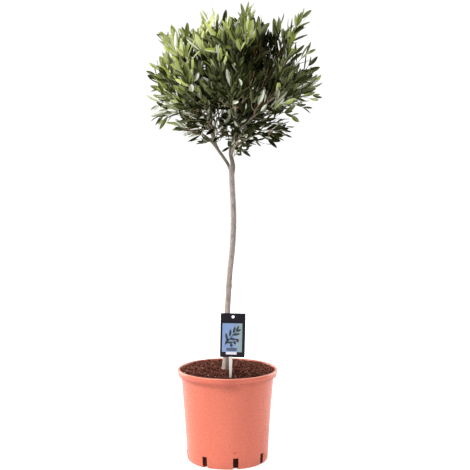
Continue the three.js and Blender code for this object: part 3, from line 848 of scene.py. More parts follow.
def tubes(lines, radii):
    """Tubes round lines of equal numbers of points, with radii for each line, point and side. Each
    ring's points are the line's point plus the radius times the cosine and sine of the two
    directions square to it. A tube's rings come first and then the point that closes each end."""
    count, steps, _ = lines.shape
    sides = radii.shape[-1]
    _, first, second = frames(lines)
    turn = circle(sides)[:, None]
    rings = lines[:, :, None] + radii[..., None] * (
        first[:, :, None] * np.cos(turn) + second[:, :, None] * np.sin(turn)
    )
    points = np.concatenate([rings.reshape(count, -1, 3), lines[:, :1], lines[:, -1:]], axis=1)
    shift = (np.arange(count) * (steps * sides + 2))[:, None, None]
    quads = (grid_quads(steps, sides) + shift).reshape(-1, 4)
    return points.reshape(-1, 3), quads, (end_fans(steps, sides) + shift).reshape(-1, 3)


# %% The bark's relief
PORE_HEIGHT = 0.35


def bark_relief(along, turn, seed, crests=(3, 16), pitch=(18, 110), count=30, narrow=0.55):
    """Lengthwise wrinkles from -1 to 1. Many waves with whole numbers of crests round the limb and
    long pitches along it are added, and the sum is folded so that its furrows are narrow."""
    rng = np.random.default_rng(seed)
    crest = rng.integers(*crests, count)
    length = rng.uniform(*pitch, count) * rng.choice([-1, 1], count)
    start = rng.uniform(0, 2 * math.pi, count)
    sum_of_waves = np.cos(
        crest * turn[..., None] + 2 * math.pi * along[..., None] / length + start
    ).sum(axis=-1) / math.sqrt(count / 2)
    return 1 - 2 * np.exp(-((sum_of_waves / narrow) ** 2))


def pores(along, turn, radius, length, seed, each=9, tall=0.8, broad=1.3):
    """Small raised pores: rounded bumps at random places, one for each stretch of bark."""
    rng = np.random.default_rng(seed)
    count = max(int(length / each), 1)
    where = rng.uniform(0, length, count)
    facing = rng.uniform(0, 2 * math.pi, count)
    wide = np.abs(np.angle(np.exp(1j * (turn[..., None] - facing)))) * radius
    return np.exp(-(((along[..., None] - where) / tall) ** 2) - (wide / broad) ** 2).sum(axis=-1)


def limb_surface(line, radius, seed, sides, step, depth):
    """One limb with bark: a line of equal steps, a radius for each share of the way, and the relief."""
    length = np.linalg.norm(np.diff(spaced(line, 60), axis=0), axis=1).sum()
    steps = int(length / step) + 2
    path = spaced(line, steps)
    share = np.linspace(0, 1, steps)[:, None]
    along, turn = np.broadcast_arrays(share * length, circle(sides)[None, :])
    relief = bark_relief(along, turn, seed)
    bumps = pores(along, turn, radius(share, turn).mean(), length, seed + 100)
    surface = radius(share, turn) + depth * relief + PORE_HEIGHT * bumps
    tone = np.clip(0.5 + 0.5 * relief, 0, 1)
    points, quads, caps = tubes(path[None], surface[None])
    return points, quads, caps, np.concatenate([tone.ravel(), [0.5, 0.5]])


def joined(parts):
    """Several surfaces as one: points end to end, and four-sided and three-sided faces counted on."""
    starts = np.cumsum([0] + [len(part[0]) for part in parts[:-1]])
    points = np.vstack([part[0] for part in parts])
    quads, caps = (np.vstack([part[k] + s for part, s in zip(parts, starts)]) for k in (1, 2))
    return points, quads, caps


# %% The bark's finish
def bark_finish(name, ridge, furrow, patch, dark):
    """Grained bark with painted shade where the relief is sunk, and sandier and lighter towards the
    stem's foot: partly its colour, partly painted light against the crown's shadow.
    """
    made, colour, coordinates = grained_finish(
        name, [ridge, patch, furrow],
        roughness=(0.72, 0.92), scales=(38, 700), stretch=(1, 1, 0.35), bump=0.45, depth=0.0005,
    )
    tree = made.node_tree
    # lighter foot: partly sandier bark, partly painted light against the crown's shadow
    sandy_lit_foot = ranged(tree, coordinate(tree, coordinates, "Z"), 0.46, 0.2, most=0.7)
    colour = mixed(tree, sandy_lit_foot, colour, srgb(216, 196, 180))
    # painted shade in the furrows
    sunk = ranged(tree, kept_value(tree, "relief"), 0.55, 0.0, most=0.75)
    coloured(made, mixed(tree, sunk, colour, dark))
    return made


# %% Make the trunk
def trunk_radius(share, turn):
    """A slow taper, a slight flare at the foot with four lobes, a knot at two fifths of the way and a
    ring under the fork."""
    flare = 0.9 * np.exp(-share / 0.022)
    knot = 0.7 * np.exp(-(((share - 0.41) / 0.012) ** 2))
    ring = 0.4 * np.exp(-(((share - 0.955) / 0.006) ** 2))
    lobe = 1 + 0.16 * np.exp(-share / 0.03) * np.cos(4 * turn + 0.6)
    return (TRUNK_RADIUS - 0.7 * share + flare + knot + ring) * lobe


trunk_bark = bark_finish(
    "trunk_bark", srgb(178, 165, 160), srgb(144, 131, 125), srgb(160, 151, 144), srgb(104, 91, 84)
)
points, quads, caps, tone = limb_surface(
    TRUNK_LINE, trunk_radius, seed=21, sides=60, step=1.3, depth=0.22
)
trunk = piece(
    "trunk_bark_relief", points, [quads, caps], [trunk_bark], sharp=60,
    stands_for=["trunk"],
)
with_values(trunk, "relief", tone)

# %% Make the boughs
IN_TRUNK = (9.0, 0.0, 596)  # the leaders' bark starts inside the trunk's


def bough_radius(thick, thin, collar):
    """A function for an even taper from thick to thin, with a collar round the foot."""
    return lambda share, turn: thick + (thin - thick) * share + collar * np.exp(-share / 0.06) + 0 * turn


parts = []
for index, mass in enumerate(masses):
    line = [*limb_lines[mass["name"]], mass["root"]]
    radius = bough_radius(3.1, 2.5, collar=1.2)
    if mass["name"] in LEADERS:
        line = [IN_TRUNK, *line]
        radius = bough_radius(LEADER_THICK[mass["name"]], 2.7, collar=0)
    parts.append(limb_surface(line, radius, seed=40 + index, sides=24, step=1.5, depth=0.13))
bough_bark = bark_finish(
    "bough_bark", srgb(142, 130, 116), srgb(104, 92, 80), srgb(124, 116, 98), srgb(72, 62, 52)
)
points, quads, caps = joined(parts)
boughs = piece(
    "bough_bark_relief", points, [quads, caps], [bough_bark], sharp=60,
    stands_for=["bough_" + mass["name"] for mass in masses],
)
with_values(boughs, "relief", np.concatenate([tone for _, _, _, tone in parts]))

# %% [markdown]
# ## How the crown grows
#
# Each mass grows by the solids' own rule: pairs of twigs leave its stem on opposite sides, each pair
# a quarter turn round from the last, leaning up and outwards, and a twig stops where it would leave
# its mass's space. Real olive shoots are finer than the solids' twigs, so here each twig runs on as
# a thin shoot and carries side shoots. Leaves stand on all of them in opposite pairs, each pair
# square to the last, and close up into a tuft at the tip.


# %% Chance and directions
QUARTER_TURN, HALF_TURN = math.pi / 2, math.pi


def chance(seed):
    """Numbers from 0 to 1 that follow only from the seed: a counter whose bits are mixed."""
    full = 0xFFFFFFFF
    stride = 0x6D2B79F5
    state = seed
    while True:
        state = (state + stride) & full
        t = (state ^ (state >> 15)) * (state | 1) & full
        t ^= (t + (t ^ (t >> 7)) * (t | 61)) & full
        yield (t ^ (t >> 14)) / (full + 1)


def sideways(way, angle):
    """A direction square to another, turned round it by an angle."""
    helper = np.array([1.0, 0, 0]) if abs(way[2]) > 0.9 else UP
    first = unit(np.cross(way, helper))
    return first * math.cos(angle) + np.cross(way, first) * math.sin(angle)


def stem_line(mass, shares):
    """Points of a mass's stem: a curve that leaves the bough's way and bends to the mass's tip."""
    t = np.asarray(shares, float)[:, None]
    return (1 - t) ** 2 * mass["root"] + 2 * t * (1 - t) * mass["bow"] + t**2 * mass["end"]


axes = np.array([[mass["root"], mass["tip"]] for mass in masses])


def to_axes(points):
    """The distance of each point from each mass's straight axis."""
    start, run = axes[:, 0], axes[:, 1] - axes[:, 0]
    share = np.clip(((points[..., None, :] - start) * run).sum(-1) / (run**2).sum(-1), 0, 1)
    return np.linalg.norm(points[..., None, :] - start - share[..., None] * run, axis=-1)


def in_space(points, index, margin):
    """True for points nearer to their own mass's axis than to any other by a margin."""
    away = to_axes(points)
    own = away[..., index]
    return np.delete(away, index, axis=-1).min(axis=-1) > own + margin


limbs = [(TRUNK_LINE, 80, 6.3)] + [
    (limb_lines[mass["name"]], 40, 4.0 if mass["name"] in LEADERS else 3.0) for mass in masses
]
limb_points = np.vstack([spaced(line, count) for line, count, _ in limbs])
limb_radii = np.concatenate([np.full(count, radius) for _, count, radius in limbs])


def clear_of_limbs(points, room):
    """True for points that lie outside every limb by some room."""
    away = np.linalg.norm(points[..., None, :] - limb_points, axis=-1) - limb_radii
    return away.min(axis=-1) > room


# %% Grow the twigs by the solids' rule
SHORTEST_TWIG = 15


def grow_twigs(mass, index):
    """The twigs of a mass: where each starts, its way and its length."""
    random = chance(1000 + index)
    twigs = []
    for k in range(mass["pairs"]):
        share = 0.08 + 0.82 * k / (mass["pairs"] - 1)
        start = stem_line(mass, [share])[0]
        near = stem_line(mass, [share - 1e-4, share + 1e-4])
        along = unit(near[1] - near[0])
        outward = unit(start - CROWN_CENTRE)
        quarter = k * QUARTER_TURN + (next(random) - 0.5) * 0.8
        for half in (0, HALF_TURN):
            open_by = math.radians(64 - 20 * share + (next(random) - 0.5) * 16)
            out = sideways(along, quarter + half)
            way = along * math.cos(open_by) + out * math.sin(open_by) + 0.3 * UP + 0.15 * outward
            full = (110 - 50 * share) * (0.8 + 0.4 * next(random))
            edge = max(0.78 + 0.14 * next(random), crown_share(start) + 0.05)
            twig = {"start": start, "way": unit(way), "turn": next(random) * math.pi}
            twig["length"] = room_for(twig, index, full, edge)
            if twig["length"] > SHORTEST_TWIG:
                twigs.append(twig)
    return twigs


def room_for(twig, index, full, edge):
    """The longest length at which a twig keeps to the crown, its mass's space and clear of limbs."""
    shares = np.linspace(0.2, 1, 5)[:, None]
    length = full
    while length > SHORTEST_TWIG - 1:
        points = twig["start"] + shares * length * twig["way"]
        inside = (
            (crown_share(points) < edge)
            & in_space(points, index, margin=5)
            & clear_of_limbs(points, room=1.5)
        )
        if inside.all():
            return length
        length -= 6
    return 0


# %% [markdown]
# A shoot starts along its own way and turns to the light as it goes: out of the crown and upwards,
# the more steeply the higher it stands. The crown isn't quite round, so two tables say how far it
# reaches at each rise from its middle, on its left and on its right, as a share of its radius. Every
# shoot is tried at full length and shortened until a leaf on its tip keeps within that reach.

# %% The crown's reach and the way to the light
RISES = [-90, -76, -63, -56, -48, -38, -28, -18, -5, 10, 24, 35, 45, 65, 90]
REACH_LEFT = [1.1, 1.1, 1.02, 1.01, 0.97, 1.0, 1.05, 1.06, 1.01, 1.01, 1.03, 1.02, 1.0, 0.99, 1.02]
REACH_RIGHT = [1.1, 1.1, 1.07, 1.07, 1.0, 0.95, 0.98, 1.03, 1.02, 0.99, 0.98, 1.05, 1.05, 1.0, 1.02]
LIGHT_FROM = np.array([8.0, 0, 670])


def reach_at(points):
    """The crown's reach in the direction of each point: the share for its rise, blended from the left
    table to the right one by the cosine of its turn."""
    way = (points - CROWN_CENTRE) / CROWN_RADII
    flat = np.hypot(way[..., 0], way[..., 1])
    rise = np.degrees(np.arctan2(way[..., 2], flat))
    right = 0.5 + 0.5 * way[..., 0] / np.maximum(flat, 1e-6)
    return (1 - right) * np.interp(rise, RISES, REACH_LEFT) + right * np.interp(rise, RISES, REACH_RIGHT)


def to_light(point):
    """Away from a place just above the fork, and upwards by a share that grows with the height. Low
    down it droops."""
    lift = np.interp(point[2], [680, 735, 850], [-0.4, 0.1, 1.0])
    return unit(unit(point - LIGHT_FROM) + lift * UP)


print("reach at the top:", float(reach_at(CROWN_CENTRE + 100 * UP)))

# %% How a shoot grows
SHOOT_POINTS = 7
shoots = []  # lines of points, with the radii of their foot and tip


def fineness(place):
    """The size of leaves and of the distances between them at a place, as a share of that high in the
    crown: growth in the shade low down is finer."""
    return float(np.interp(place[2], [690, 815], [0.7, 1.0]))


def shoot_line(start, way, length, turned=0.46):
    """A shoot's points: straight along its way, and turned to the light by the square of the share
    gone."""
    share = np.linspace(0, 1, SHOOT_POINTS)[:, None]
    return start + length * (way * share + turned * (to_light(start) - way) * share**2)


def fitted(start, way, full, index, random, least=15, room=26, stray=20):
    """A shoot's line at the greatest length at which its tip, and a leaf that needs some room beyond
    it, keep within the crown's reach, or None if the least length doesn't. Shoots differ by chance in
    how near to the reach they come. The tip may stray a little into the space of the next mass."""
    most = 0.8 + 0.25 * next(random)
    length = full
    while length > least:
        line = shoot_line(start, way, length)
        beyond = line[-1] + room * fineness(start) * unit(line[-1] - line[-2])
        inside = crown_share(beyond) < most * reach_at(beyond)
        if inside and in_space(line[-1], index, -stray) and clear_of_limbs(line[-1], room=1):
            return line
        length -= 4
    return None


def at(line, share):
    """The place and the way of a line at a share of its length."""
    place = share * (len(line) - 1)
    k = min(int(place), len(line) - 2)
    return line[k] + (place - k) * (line[k + 1] - line[k]), unit(line[k + 1] - line[k])


print("leaves low down are", fineness([0, 0, 0]), "of the size of those high up")

# %% [markdown]
# Leaves stand in pairs that face each other across the shoot, each pair square to the last. Each leans
# out from the shoot by an angle and a little to the light, and turns its upper side to the sky. All
# of this varies by chance, more so low down, where growth is loose.


# %% How leaves stand on a shoot
LEAF_LENGTH = (31, 48)
OPENING, CLOSING, LOOSENESS = 48, 20, 26  # how far a leaf leans from its shoot, in degrees
leaves = []  # base, way, face, length, spray
sprays = []  # the tip of each spray's shoot


def scatter(random):
    """Three numbers from -0.5 to 0.5."""
    return np.array([next(random), next(random), next(random)]) - 0.5


def facing(base, way, random):
    """The way that a leaf's upper side turns: up its shoot, to the sky and out of the crown, and
    partly by chance. Low in the crown one leaf in three is turned over."""
    out = unit(base - CROWN_CENTRE)
    face = 0.35 * way + 0.5 * UP + 0.9 * out + 1.3 * scatter(random)
    return -face if next(random) < np.interp(base[2], [700, 860], [0.34, 0.08]) else face


def dress(line, turn, random, first=0.35, spacing=17, size=1.0):
    """One spray, the leaves on a shoot: pairs at even distances from its first share on, opener low
    down than near the tip, and a last small pair that goes on in the shoot's way. Fine leaves low in
    the crown point less regularly."""
    spray = len(sprays)
    sprays.append(line[-1])
    fine = fineness(line[-1])
    size *= fine
    length = np.linalg.norm(line[-1] - line[0])
    count = max(int(round(length * (1 - first) / (spacing * fine))), 1)
    for k in range(count):
        share = first + (1 - first) * (k + 0.15 * next(random)) / count
        base, way = at(line, share)
        for half in (0, HALF_TURN):
            open_by = math.radians(OPENING - CLOSING * share + LOOSENESS * (next(random) - 0.5))
            out = sideways(way, turn + half + k * QUARTER_TURN + 0.6 * (next(random) - 0.5))
            aim = (3.0 - 2.4 * fine) * scatter(random)
            aim += way * math.cos(open_by) + out * math.sin(open_by) + 0.4 * to_light(base)
            long = LEAF_LENGTH[0] + (LEAF_LENGTH[1] - LEAF_LENGTH[0]) * next(random)
            leaves.append((base, unit(aim), facing(base, way, random), long * size, spray))
    base, way = at(line, 1)
    for half in (0, HALF_TURN):
        out = sideways(way, turn + half + count * QUARTER_TURN)
        aim = way + 0.28 * (0.6 + next(random)) * out
        long = LEAF_LENGTH[0] * (0.72 + 0.3 * next(random))
        leaves.append((base, unit(aim), facing(base, way, random), long * size, spray))


# %% Grow the shoots of every mass
def branch_out(line, turn, index, random, stray=20):
    """Leaves on a twig, and side shoots in pairs along it, each pair turned round from the last."""
    dress(line, turn, random, first=0.34, spacing=19)
    length = np.linalg.norm(line[-1] - line[0])
    fine = fineness(line[SHOOT_POINTS // 2])
    for k, share in enumerate(np.arange(14, max(0.72 * length, 15), 20 * fine) / length):
        for half in (0, HALF_TURN):
            start, way = at(line, share + 0.06 * next(random))
            out = sideways(way, turn + 0.8 + k * QUARTER_TURN + half)
            aim = unit(way * 0.5 + out * 0.7 + 0.4 * to_light(start))
            side = fitted(start, aim, 26 + 36 * next(random), index, random, least=12, stray=stray)
            if side is not None and next(random) < 1.1 - 0.52 * fine:
                shoots.append((side, 0.85, 0.5))
                dress(side, next(random) * 3, random, first=0.36, spacing=18, size=0.95)


for index, mass in enumerate(masses):
    random = chance(7000 + index)
    stem = stem_line(mass, np.linspace(0, 1, SHOOT_POINTS))
    stem_way = unit(mass["tip"] - mass["end"])
    shoots.append((stem, 2.5, 1.5))
    leader = fitted(mass["end"] - stem_way, stem_way, 34, index, random, least=6)
    if leader is not None:
        shoots.append((leader, 1.45, 0.7))
        dress(leader, 0.6, random, first=0.1)
    dress(stem, 1.1, random, first=0.5, spacing=20)
    for twig in grow_twigs(mass, index):
        line = fitted(twig["start"], twig["way"], twig["length"] + 34, index, random, room=28)
        if line is None:
            line = shoot_line(twig["start"], twig["way"], SHORTEST_TWIG)
        shoots.append((line, 1.35, 0.65))
        branch_out(line, twig["turn"], index, random)
print("shoots of the masses:", len(shoots), "with", len(leaves), "leaves")

# %% [markdown]
# The masses leave gaps between front, back, left and right, and round the boughs, which the real
# crown has filled. So a few more twigs go out to the corners, and short shoots stand on the boughs in
# pairs that turn as they go. At last some thirty are set one by one, where the crown's edge or its
# middle needs one.

# %% Fill the corners and the middle
CORNERS = [  # turn, rise, the bough that it leaves, and the share along the bough
    (-135, 42, "upper_left", 0.8), (135, 42, "upper_left", 0.8), (-45, 42, "top", 0.8),
    (45, 42, "top", 0.8), (-115, 22, "upper_left", 0.8), (115, 22, "upper_left", 0.8),
    (66, 22, "top", 0.8), (-112, 4, "upper_left", 0.7), (-110, -18, "upper_left", 0.6),
    (-82, 18, "upper_left", 0.85), (-76, -8, "upper_left", 0.75), (112, -44, "upper_left", 0.45),
]
ANYWHERE = 400  # so large a stray that these twigs keep to no mass's space
for turn, rise, parent, share in CORNERS:
    random = chance(9500 + turn)
    start, _ = at(spaced(limb_lines[parent], 41), share)
    run = crown_point(turn, rise, 1) - start
    line = fitted(start, unit(run), np.linalg.norm(run), 0, random, least=20, room=28, stray=ANYWHERE)
    if line is not None:
        shoots.append((line, 1.5, 0.65))
        branch_out(line, 0.6, 0, random, stray=ANYWHERE)

for index, mass in enumerate(masses):
    random = chance(9000 + index)
    bare = spaced([*limb_lines[mass["name"]], mass["root"]], 41)
    run = np.linalg.norm(np.diff(bare, axis=0), axis=1).sum()
    for k, share in enumerate(np.arange(10, run, 20) / run):
        start, way = at(bare, share)
        for half in (0, HALF_TURN):
            out = sideways(way, 0.9 + 1.9 * k + half + next(random))
            aim = unit(way * 0.4 + out)
            full = 30 + 26 * next(random)
            short = fitted(start, aim, full, index, random, least=14, room=24, stray=40)
            if short is not None:
                shoots.append((short, 1.0, 0.5))
                dress(short, next(random) * 3, random)
print("shoots with the corners and the boughs:", len(shoots))

# %% Set some shoots one by one
STRAYS = [  # where each starts, where it ends, and its foot's radius
    ((120, -8, 866), (149, -10, 908), 0.9), ((112, -12, 852), (135, -14, 888), 0.8),
    ((132, -14, 812), (158, -20, 846), 0.8), ((-30, -6, 872), (-38, -8, 902), 0.8),
    ((-110, -20, 842), (-122, -24, 868), 0.8), ((16, 40, 880), (26, 52, 908), 0.8),
    ((-40, 110, 840), (-48, 128, 870), 0.8), ((13, -6, 640), (30, -14, 650), 0.8),
    ((-26, 2, 662), (-38, -6, 676), 0.8), ((150, 30, 760), (176, 38, 764), 0.8),
    ((-20, 4, 668), (-8, -14, 694), 0.8), ((-30, 4, 700), (-12, 20, 724), 0.8),
    ((12, -3, 676), (-4, -22, 700), 0.8), ((17, -4, 716), (0, 12, 742), 0.8),
    ((-34, 4, 712), (-14, -24, 740), 0.8), ((20, -2, 700), (4, 24, 716), 0.8),
    ((-106, -16, 738), (-136, -24, 722), 0.9), ((-100, 14, 732), (-132, 24, 714), 0.9),
    ((-112, 2, 754), (-142, -2, 744), 0.9), ((-25, 2, 676), (-6, 20, 700), 0.8),
    ((-28, 4, 690), (-2, -30, 706), 0.8), ((10, 0, 664), (-8, 16, 690), 0.8),
    ((16, -3, 690), (-8, 14, 710), 0.8), ((-31, 4, 702), (-4, -18, 724), 0.8),
    ((14, -3, 684), (-2, -34, 716), 0.8), ((-30, 4, 696), (-10, -38, 692), 0.8),
    ((18, -4, 706), (0, -30, 734), 0.8), ((-23, 4, 672), (-4, -24, 682), 0.8),
    ((112, -20, 746), (152, -30, 740), 0.8), ((106, 16, 730), (142, 26, 716), 0.8),
    ((120, -6, 760), (166, -12, 758), 0.8), ((137, -9, 890), (149, -11, 917), 0.7),
]
first_stray = len(sprays)
random = chance(9900)
for foot, tip, thick in STRAYS:
    bow = np.sin(np.linspace(0, HALF_TURN, SHOOT_POINTS))[:, None]
    line = np.linspace(foot, tip, SHOOT_POINTS) + 3 * UP * bow
    shoots.append((line, thick, 0.5))
    dress(line, next(random) * 3, random, first=0.3, size=0.95)
print("sprays:", len(sprays), "shoots:", len(shoots), "leaves before the crown is opened:", len(leaves))

# %% [markdown]
# Leaves that would pass the crown's reach or run into a limb are left off. Low in the crown, where
# little light comes, some more have dropped and the twigs show, and the very top is a little thinner
# too. So are three other places: one right of the middle of the front, so that one looks into the
# crown's dark inside, one low at the right, and one at the top left.

# %% Open the crown
base, way, face, long, of_spray = (np.array(column) for column in zip(*leaves))
samples = base[:, None] + way[:, None] * (long[:, None] * np.linspace(0.25, 1, 4))[..., None]
x, y, z = base.T
front = (y < -20) * np.exp(-(((x - 64) / 46) ** 2) - ((z - 804) / 60) ** 2)
low_right = (x > 60) & (z < 722)
top_left = (x < 0) & (z > 868)
stays = np.interp(z, [690, 780, 860, 920], [0.84, 1.0, 1.0, 0.8])
stays -= 0.5 * front + 0.25 * low_right + 0.3 * top_left
within_reach = (crown_share(samples) < reach_at(samples) + 0.06).all(axis=1)
kept = (
    clear_of_limbs(samples, room=0.3).all(axis=1)
    & (within_reach | (of_spray >= first_stray))
    & (np.random.default_rng(30).uniform(size=len(base)) < stays)
)
base, way, face, long, of_spray, front = (
    array[kept] for array in (base, way, face, long, of_spray, front)
)
print("leaves:", len(base))

# %% [markdown]
# ## Leaves
#
# An olive leaf is a narrow blade, leathery and dark green above, silver grey below, a little folded
# along its midrib and often bent back at the tip. Each is a closed mesh: six rows of four points,
# three across the top and one below them, closed on a point at either end. The two greens of a leaf
# part along its midrib: the half on one side takes the upper side's green, and the half on the
# other side the paler green of the underside. Each spray gets the green of its place, painted as
# light and shade: those in the sun at the top and the left get yellow greens, partly young growth
# and partly painted light, and those inside the crown get dark greens as painted shade. Some leaves,
# most of them low down, are silver by chance, painted paler than an underside as painted light.

# %% Draw the blades
LEAF_ROWS = np.array([0.09, 0.22, 0.4, 0.6, 0.78, 0.91])
LEAF_HALF_WIDTHS = np.array([0.16, 0.62, 0.94, 1.0, 0.8, 0.46])


def blades(base, way, face, long, seed):
    """Closed leaf blades as points and faces. Along its way each blade sinks by the square of the
    share gone, across it rises to both edges by the fold, and the underside lies below the midrib."""
    rng = np.random.default_rng(seed)
    count = len(base)
    up = unit(face - (face * way).sum(-1, keepdims=True) * way)
    across = np.cross(way, up)
    wide = long * rng.uniform(0.115, 0.15, count)
    bend = rng.normal(0.07, 0.09, count)[:, None] * long[:, None]
    fold = rng.uniform(0.02, 0.4, count)[:, None]
    sway = rng.normal(0, 0.04, count)[:, None] * long[:, None]
    share = LEAF_ROWS[None]
    half = wide[:, None] * LEAF_HALF_WIDTHS[None]
    middle = (
        base[:, None]
        + way[:, None] * (long[:, None] * share)[..., None]
        - up[:, None] * (bend * share**2)[..., None]
        + across[:, None] * (sway * share**2)[..., None]
    )
    rise = up[:, None] * (half * fold)[..., None]
    reach = across[:, None] * half[..., None]
    under = up[:, None] * (0.25 + 0.35 * LEAF_HALF_WIDTHS)[None, :, None]
    rows = np.stack([middle - reach + rise, middle, middle + reach + rise, middle - under], axis=2)
    tip = base + way * long[:, None] - up * bend + across * sway
    points = np.concatenate([rows.reshape(count, -1, 3), base[:, None], tip[:, None]], axis=1)
    steps = len(LEAF_ROWS)
    shift = (np.arange(count) * (4 * steps + 2))[:, None, None]
    quads = grid_quads(steps, 4)[:, [3, 0, 1, 2]]  # the first corner sets the diagonal they bend along
    return points.reshape(-1, 3), quads[None] + shift, end_fans(steps, 4)[None] + shift


# %% Deal out the greens by spray
# lit and shaded copies of one leaf: the first four rows run from yellow greens painted as sunlit, partly
# young growth, to a dark green painted as shaded; the silver row is the silver underside painted paler as
# painted light; the last two rows are painted shade for the crown's inside, the last of them browner like
# old leaves
GREENS = [
    ("leaf_young_sunlit", srgb(196, 204, 100), srgb(210, 216, 160), 0.4),
    ("leaf_fresh_sunlit", srgb(160, 172, 70), srgb(188, 196, 146), 0.35),
    ("leaf_green", srgb(106, 119, 40), srgb(152, 157, 114), 0.25),
    ("leaf_deep", srgb(48, 58, 14), srgb(100, 105, 70), 0.12),
    ("leaf_silver_lit", srgb(158, 162, 130), srgb(238, 240, 226), 0.2),
    ("leaf_shade", srgb(34, 40, 11), srgb(52, 56, 28), 0.05),
    ("leaf_old_shaded", srgb(50, 45, 20), srgb(72, 66, 38), 0.05),
]
LIT_SILVER, SHADE, OLD_SHADED = 4, 5, 6  # three kinds of the list, by number
leaf_finishes = []
for name, top_colour, under_colour, shine in GREENS:
    leaf_finishes += plain_finishes([
        (name, top_colour, 0.4, shine), (name + "_underside", under_colour, 0.6, 0.5 * shine)
    ])

draw = np.random.default_rng(32)
# painted light and shade by place: lighter greens high up, to the left and away from a spot right of and
# below the middle, and a painted lighter patch at the upper left
rightward, _, upward = ((np.array(sprays) - CROWN_CENTRE) / CROWN_RADII).T
aside = np.hypot(rightward - 0.14, upward + 0.12)
leftward = -rightward * np.interp(upward, [-0.4, 0.3], [0, 0.42])
lit_patch = 0.25 * np.exp(-(((rightward + 0.3) / 0.3) ** 2) - ((upward - 0.3) / 0.3) ** 2)
sun = 0.85 * upward + leftward + 1.5 * (aside - 0.6) + lit_patch
sun += draw.normal(0, 0.55, len(sprays))
green = np.select([sun > 1.05, sun > 0.5, sun > 0.02], [0, 1, 2], 3)
inner = np.where(draw.uniform(size=len(sprays)) < 0.2, OLD_SHADED, SHADE)

# a leaf takes a painted shade green where it lies within a share of the crown's reach
within = crown_share(base) / reach_at(base)
# more painted shade in the front's opening, and less in the painted lighter patch
shaded = np.interp(base[:, 2], [700, 750, 790], [0.88, 0.63, 0.58]) + 0.22 * front
shaded -= 0.4 * lit_patch[of_spray]
darker = draw.choice(3, len(base), p=[0.66, 0.24, 0.1])
kind = np.where(within < shaded, inner[of_spray], np.minimum(green[of_spray] + darker, 3))
# silver leaves: the real silver underside, painted paler as painted light
kind[draw.uniform(size=len(base)) < np.interp(base[:, 2], [680, 815], [0.24, 0.05])] = LIT_SILVER
for number, (name, *_) in enumerate(GREENS):
    print(name, (kind == number).sum())

# %% [markdown]
# The leaves are joined into two pieces, one below a height and one above it, so that neither has too
# many triangles. Of a blade's four long rows of faces, the first and the last lie left of the
# midrib and the two between them right of it.

# %% Make the leaves
HALVES = np.array([1, 0, 0, 1])  # each row's material: 0 the upper side's green, 1 the underside's
PARTING = 780
row_kinds = np.tile(HALVES, len(LEAF_ROWS) - 1)
cap_kinds = np.tile(HALVES, 2)
for part, above in (("lower", False), ("upper", True)):
    own = (base[:, 2] > PARTING) == above
    points, quads, caps = blades(base[own], way[own], face[own], long[own], seed=31 + above)
    first_kind = 2 * kind[own][:, None]
    piece(
        "leaves_" + part, points, [quads.reshape(-1, 4), caps.reshape(-1, 3)], leaf_finishes,
        which=np.concatenate([(first_kind + row_kinds).ravel(), (first_kind + cap_kinds).ravel()]),
        sharp=50,
        stands_for=["foliage_" + mass["name"] for mass in masses if (mass["tip"][2] > PARTING) == above],
    )

# %% [markdown]
# The twigs and shoots are tubes of five sides, all worked out in one array. Older wood is grey brown
# and the thin shoots are a dull green.

# %% Make the twigs
lines, feet, tips = (np.array(column) for column in zip(*shoots))
share = np.linspace(0, 1, SHOOT_POINTS)
radii = feet[:, None] + (tips - feet)[:, None] * share
points, quads, caps = tubes(lines, np.repeat(radii[..., None], 5, axis=-1))
twig_finishes = plain_finishes([
    ("twig_grey", srgb(166, 150, 128), 0.8),
    ("twig_brown", srgb(146, 126, 100), 0.8),
    ("twig_green", srgb(126, 126, 84), 0.7),
])
wood = np.select([feet > 1.4, feet > 1.0], [0, 1], 2)
which = np.concatenate([
    np.repeat(wood, len(quads) // len(lines)), np.repeat(wood, len(caps) // len(lines)),
])
piece("twigs", points, [quads, caps], twig_finishes, which=which, sharp=80)

# %% [markdown]
# ## The label
#
# A plastic plant label is a printed card on a white pointed stem. The card is thin with rounded
# corners and a round hole near its top. Its face has a dark border, a pale panel with a picture of
# the plant and a blank strip for the price. The picture here is a simple sprig of its own, and there
# is no lettering. The card is a grid that goes round its thickness: each column runs from the hole
# out over the front, round the edge and back behind to the hole.

# %% The card's place
LABEL = {"width": 50.5, "height": 90.5, "corner": 2, "thick": 1.0, "bottom": 236.4, "x": 10.2, "y": -85}
LEAN = math.radians(1.2)
HOLE, HOLE_RADIUS = np.array([0.0, LABEL["height"] - 7.5]), 2.8
STEM_OFFSET, STEM_LENGTH, POINT_LENGTH, STEM_DEPTH = -2.9, 112, 26, -0.5


def on_card(points):
    """Points in the card's own frame, x across, y to the back and z up from the middle of its lower
    edge, put in place: leant over about the y axis and moved."""
    x, y, z = points[..., 0], points[..., 1], points[..., 2]
    return np.stack([
        LABEL["x"] + x * math.cos(LEAN) + z * math.sin(LEAN),
        LABEL["y"] + y,
        LABEL["bottom"] - x * math.sin(LEAN) + z * math.cos(LEAN),
    ], axis=-1)


def card_points(flat, depth):
    """Points across and up the card, set at a depth from its back."""
    return np.stack(np.broadcast_arrays(flat[..., 0], depth, flat[..., 1]), axis=-1)


def card_outline(turn):
    """The card's rounded rectangle at angles seen from the hole. The distance in each direction is
    where the ray meets the nearest side, and corners are pulled in to a circle."""
    way = spokes(turn)
    low = np.array([-LABEL["width"] / 2, 0]) - HOLE
    high = np.array([LABEL["width"] / 2, LABEL["height"]]) - HOLE
    with np.errstate(divide="ignore"):
        reach = np.where(way > 0, high / way, low / way)
    point = HOLE + way * reach.min(axis=-1, keepdims=True)
    r = LABEL["corner"]
    centre = np.clip(point, low + HOLE + r, high + HOLE - r)
    away = point - centre
    size = np.maximum(np.linalg.norm(away, axis=-1, keepdims=True), 1e-9)
    return centre + away / size * np.minimum(size, r)


